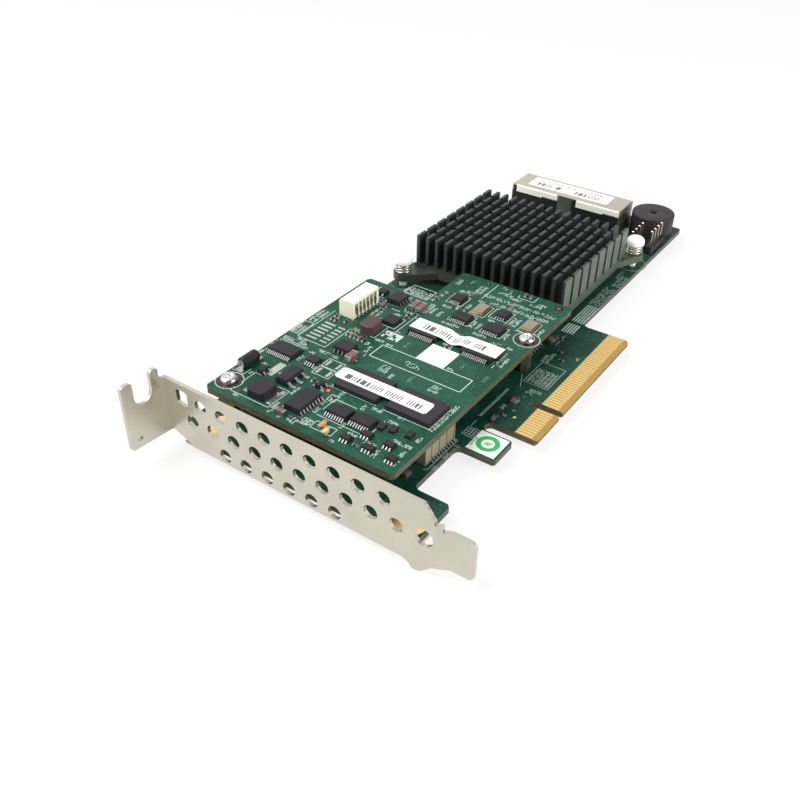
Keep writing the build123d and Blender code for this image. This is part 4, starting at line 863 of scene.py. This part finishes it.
bodies, ends = zip(*[passives(places, along_y, chip_r) for places, along_y in (
    (dark_across, False), (dark_along, True), (dark_low, True))])
piece("chip_resistors", *joined(*bodies), resin, "chip_bodies")
cap_bodies, cap_ends = zip(*[passives(places, along_y, chip_c) for places, along_y in (
    (tan_across, False), (tan_along, True), (tan_low, True))])
piece("small_capacitors", *joined(*cap_bodies), cap_brown, "capacitor_bodies")
piece("small_part_ends", *joined(*ends, *cap_ends), tin, "capacitor_ends")


def tiny_chips(spots, size, leads, level):
    """Small moulded chips and their feet: the feet stand out 0.45 mm on both Y sides, evenly along X."""
    length, width, height = size
    low = np.array([(x - length / 2, y - width / 2, level + 0.05) for x, y in spots])
    body = blocks(low, low + (length, width, height))
    places = (np.arange(leads) + 0.5) / leads - 0.5
    feet = np.array([(x + places[k] * length, y + side * (width / 2 + 0.2), level)
                     for x, y in spots for k in range(leads) for side in (-1, 1)])
    return body, blocks(feet - (0.1, 0.26, 0.0), feet + (0.1, 0.26, 0.22))


tiny_body, tiny_feet = tiny_chips([(20.0, 22.0), (20.6, 18.2), (19.4, 24.6)], (2.1, 1.5, 0.75), 3, deck)
piece("tiny_chips", *tiny_body, resin, "regulator_bodies")
piece("tiny_chip_feet", *tiny_feet, tin, "regulator_leads")


# painted shade under the rows of fine leads: dark strips of mask that darken the gaps between the leads

fine_chips = [
    (27.5, 31.5, 56.8, 64.1), (16.4, 19.7, 32.3, 37.6), (16.9, 20.1, 26.2, 31.4),
    (65.4, 69.2, 32.0, 36.7), (65.2, 69.2, 22.6, 27.2), (73.0, 76.6, 38.4, 41.6),
    (72.8, 76.2, 25.0, 28.0), (28.9, 31.3, 50.6, 53.6), (54.0, 59.0, 18.4, 26.6), (54.0, 59.0, 33.7, 41.9)]
shade_runs = np.array([(x, (y0 + y1) / 2, x + 1.3, (y0 + y1) / 2, y1 - y0 - 0.1)
                 for x0, x1, y0, y1 in fine_chips for x in (x0 - 1.2, x1 - 0.1)])
piece("painted_lead_shade", *strokes(shade_runs[:, :4], shade_runs[:, 4], deck, 0.008), lead_shade, "cache_board")


# bare pads and marks on the boards

pad_columns = 38.3 + 1.48 * np.arange(6)
tall_pads = [(x, 57.9, x, 61.2) for x in pad_columns] + [(x, 54.9, x, 57.0) for x in pad_columns]
flat_pads = [(27.2, y, 29.4, y) for y in (46.1, 49.1)] + [(30.8, y, 33.1, y) for y in (46.1, 49.1)]
wide_pads, diode_pad = [(20.0, 57.3, 25.4, 57.3)], [(17.3, 64.0, 18.9, 64.0)]
corner_pad = [(70.2, 33.4, 70.9, 33.4)]
choke_pads = [(11.5, 49.9, 14.1, 49.9), (14.5, 49.9, 17.2, 49.9)]
bare_pads = joined(strokes(tall_pads, 0.62, deck, 0.04), strokes(flat_pads, 0.75, deck, 0.04),
                   strokes(wide_pads, 2.0, deck, 0.05), strokes(choke_pads, 1.0, deck, 0.04),
                   strokes(diode_pad, 1.8, deck, 0.04), strokes(corner_pad, 2.0, deck, 0.04))
piece("bare_solder_pads", *bare_pads, pad_tin, "ground_pads")
matrix = grid(48.7, 41.4, 5, 8, 0.62, 0.62, 0)[:, :2]
matrix = matrix[dice.random(len(matrix)) < 0.7]
level = np.full((len(matrix), 1), deck)
cells = blocks(np.hstack([matrix, level]), np.hstack([matrix + 0.56, level + 0.02]))
piece("square_code_marks", *cells, silk, "cache_board")
aims = [(23.3, 42.3), (86.4, 16.8)]
piece("aiming_marks", *rings(aims, 0.05, 0.5, deck, 0.03, 24), red_copper, "ground_pads")
piece("aiming_mark_rings", *rings(aims, 0.55, 1.25, deck, 0.015, 24), ring_copper, "ground_pads")
via_x, via_y = dice.uniform(upper_low[0] + 2, upper_high[0] - 2, 160), dice.uniform(upper_low[1] + 2, 46, 160)
via_spots = np.stack([via_x, via_y], 1)
piece("upper_vias", *rings(via_spots, 0.1, 0.22, deck, 0.015, 8), via_green, "cache_board")


# marks on the main board

boxes_below = [(63.8, 7.3, 73.8, 13.9), (37.2, 12.2, 40.5, 15.2)]
runs_below = [
    (22.0, 14.6, 34.6, 14.6), (22.0, 14.6, 22.0, 15.6), (34.6, 14.6, 34.6, 15.6),
    (41.0, 15.0, 43.4, 15.0), (45.3, 15.4, 58.7, 15.4), (45.3, 15.0, 58.7, 15.0),
    (61.0, 13.2, 66.2, 15.5), (83.0, 14.8, 89.0, 14.8)]
runs_below += [(37.2 + 0.82 * k, 12.2, 37.2 + 0.82 * k, 15.2) for k in (1, 2, 3)]
runs_below += [(37.2, 12.2 + 0.75 * k, 40.5, 12.2 + 0.75 * k) for k in (1, 2, 3)]
rows_below = [
    (23.0, 13.2, 2, 0.9, 0), (27.6, 13.2, 3, 0.9, 0), (32.4, 13.2, 1, 0.9, 0), (50.6, 12.2, 3, 0.8, 0),
    (48.6, 10.4, 1, 0.9, 0), (54.6, 10.6, 2, 0.9, 0), (59.7, 11.2, 3, 0.8, 3), (60.9, 10.6, 4, 0.9, 3),
    (74.2, 12.6, 7, 0.8, 0), (74.2, 13.8, 5, 0.8, 0), (79.4, 6.8, 2, 0.8, 0), (84.0, 15.8, 5, 0.8, 0)]
rows_below += [(64.4, 7.8 + 0.98 * k, 12, 0.62, 0) for k in range(6)]
rows_below += [(107.8, y, count, 0.9, 0) for y, count in ((13.9, 15), (15.1, 14), (16.3, 15))]
rows_below += [(121.0, 14.0, 9, 0.9, 0), (121.0, 15.4, 11, 0.8, 0), (126.0, 16.6, 8, 0.8, 0)]
lanes = [(90.2, 13.8 + 0.74 * k, 95.2, 13.8 + 0.74 * k) for k in range(5)]
lanes += [(96.6, 13.8 + 0.74 * k, 107.0, 13.8 + 0.74 * k) for k in range(5)]
near_pin = pin_spots[1]
piece("main_silk_print", *joined(
    strokes(framed(boxes_below) + runs_below, 0.14, card_top), strokes(marked(rows_below), 0.12, card_top),
    strokes(lanes, 0.42, card_top), rings([near_pin], 4.3, 4.5, card_top, 0.02, 40)), silk_low, "main_board")
far_pin = pin_spots[0]
room = main_high[1] - 0.3 - far_pin[1]


def far_arc(radius):
    """Runs along a circle round the far push pin, point = pin + radius (cos a, sin a), on the board alone."""
    lift = np.arcsin(min(room / radius, 1.0))
    a = np.linspace(np.pi - lift, 2 * np.pi + lift, 33)
    line = far_pin + radius * np.stack([np.cos(a), np.sin(a)], 1)
    return np.hstack([line[:-1], line[1:]])


# the arcs are print; their dim colour is painted shade, for the board in the shade under the heat sink's ear
arcs = np.vstack([far_arc(3.5), far_arc(4.2)])
piece("far_pin_arcs", *strokes(arcs, 0.15, card_top), dim_print_and_shade, "main_board")
round_pads, gold_pad = [(51.7, 9.8), (58.0, 10.5)], [(49.5, 8.4)]
piece("round_test_pads", *rings(round_pads, 0.05, 0.42, card_top, 0.03, 20), tin, "main_board")
piece("gold_test_pad", *rings(gold_pad, 0.05, 0.42, card_top, 0.03, 20), gold, "main_board")


# marks on the labels: rows on the hook label and a few dots on the square one

hook_x, hook_y = hook_middle
hook_rows = marked([(hook_x - 2.6, hook_high[1] - 0.75, 7, 0.55, 0), (hook_x - 0.75, hook_y + 0.1, 3, 0.6, 0),
                    (hook_x - 0.75, hook_y - 0.75, 3, 0.6, 0)])
piece("hook_label_marks", *strokes(hook_rows, 0.16, hook_high[2], 0.015), label_green, "hook_label")
square_low, square_high = span("square_label")
dots = np.array([(2.6, 0.8), (4.6, 0.8), (4.7, 2.2), (0.9, 1.7)])
dots = dots * (1, -1) + (square_low[0], square_high[1])
dot_runs = [(x - 0.15, y, x + 0.15, y) for x, y in dots]
piece("square_label_dots", *strokes(dot_runs, 0.22, square_high[2], 0.015), label_ink, "square_label")


# studio

def pale_rays(tree):
    """The kinds of rays, and a mask of those that show the background white: straight, mirrored and bent."""
    path = tree.nodes.new("ShaderNodeLightPath").outputs
    bent = math(tree, "MAXIMUM", path["Is Glossy Ray"], path["Is Transmission Ray"])
    return path, math(tree, "MAXIMUM", path["Is Camera Ray"], bent)


def studio():
    """A pale floor under the card, even light from the sky, and large soft lamps."""
    half, floor_z = 3.0, cad_box[0][2]
    mesh = bpy.data.meshes.new("floor")
    corners = [(x * half, y * half, floor_z) for x, y in ((-1, -1), (1, -1), (1, 1), (-1, 1))]
    mesh.from_pydata(corners, [], [(0, 1, 2, 3)])
    floor = bpy.data.objects.new("floor", mesh)
    bpy.context.scene.collection.objects.link(floor)
    material = bpy.data.materials.new("pale floor")
    material.use_nodes = True
    tree = material.node_tree
    tree.nodes.remove(tree.nodes["Principled BSDF"])
    matte = tree.nodes.new("ShaderNodeBsdfDiffuse")
    matte.inputs["Color"].default_value = (0.85, 0.85, 0.85, 1)
    glow = tree.nodes.new("ShaderNodeEmission")
    _, seen = pale_rays(tree)
    mix = tree.nodes.new("ShaderNodeMixShader")
    tree.links.new(times(tree, seen, 0.8), mix.inputs[0])
    tree.links.new(matte.outputs[0], mix.inputs[1])
    tree.links.new(glow.outputs[0], mix.inputs[2])
    tree.links.new(mix.outputs[0], tree.nodes["Material Output"].inputs[0])
    mesh.materials.append(material)

    world = bpy.data.worlds.new("even sky")
    bpy.context.scene.world = world
    world.use_nodes = True
    tree = world.node_tree
    path, seen = pale_rays(tree)
    backdrop = tree.nodes["Background"]
    backdrop.inputs["Color"].default_value = (1, 1, 1, 1)
    sky = tree.nodes.new("ShaderNodeTexCoord").outputs["Generated"]
    dark_side = remap(tree, along(tree, sky, (-0.62, -0.6, 0.5)), 0.55, 0.85)
    grey_side = remap(tree, along(tree, sky, (0.62, -0.75, 0.25)), 0.35, 0.8)
    for side in (dark_side, grey_side):
        side.node.clamp = True
    mirrored = times(tree, minus(tree, 1.0, times(tree, dark_side, 0.85)),
                     minus(tree, 1.0, times(tree, grey_side, 0.75)))
    glossy = math(tree, "SUBTRACT", path["Is Glossy Ray"], path["Is Camera Ray"], clamp=True)
    shown = blend(tree, glossy, (1, 1, 1, 1), mirrored)
    strength = remap(tree, seen, 0.0, 1.0, 0.55, 1.0)
    tree.links.new(times(tree, strength, shown), backdrop.inputs["Strength"])

    middle = Vector((0.08, 0.035, 0.0))
    for name, place, power in (("key lamp", (-0.25, 0.35, 0.6), 5.0), ("fill lamp", (0.1, -0.6, 0.35), 4.0)):
        data = bpy.data.lights.new(name, "AREA")
        data.size = 0.5
        data.energy = power
        lamp = bpy.data.objects.new(name, data)
        lamp.location = place
        lamp.rotation_euler = (middle - Vector(place)).to_track_quat("-Z", "Y").to_euler()
        bpy.context.scene.collection.objects.link(lamp)


def camera():
    """The photograph's camera: its place in millimetres, its turn in degrees and its lens."""
    data = bpy.data.cameras.new("camera")
    data.sensor_width = 36.0
    data.lens = 40.05
    data.clip_start = 0.001
    eye = bpy.data.objects.new("camera", data)
    eye.location = Vector((-100.76, -62.34, 127.46)) * MM
    eye.rotation_euler = [radians(a) for a in (53.468, -0.808, -54.957)]
    bpy.context.scene.collection.objects.link(eye)
    bpy.context.scene.camera = eye


studio()
camera()
bpy.context.scene.view_settings.view_transform = "Standard"
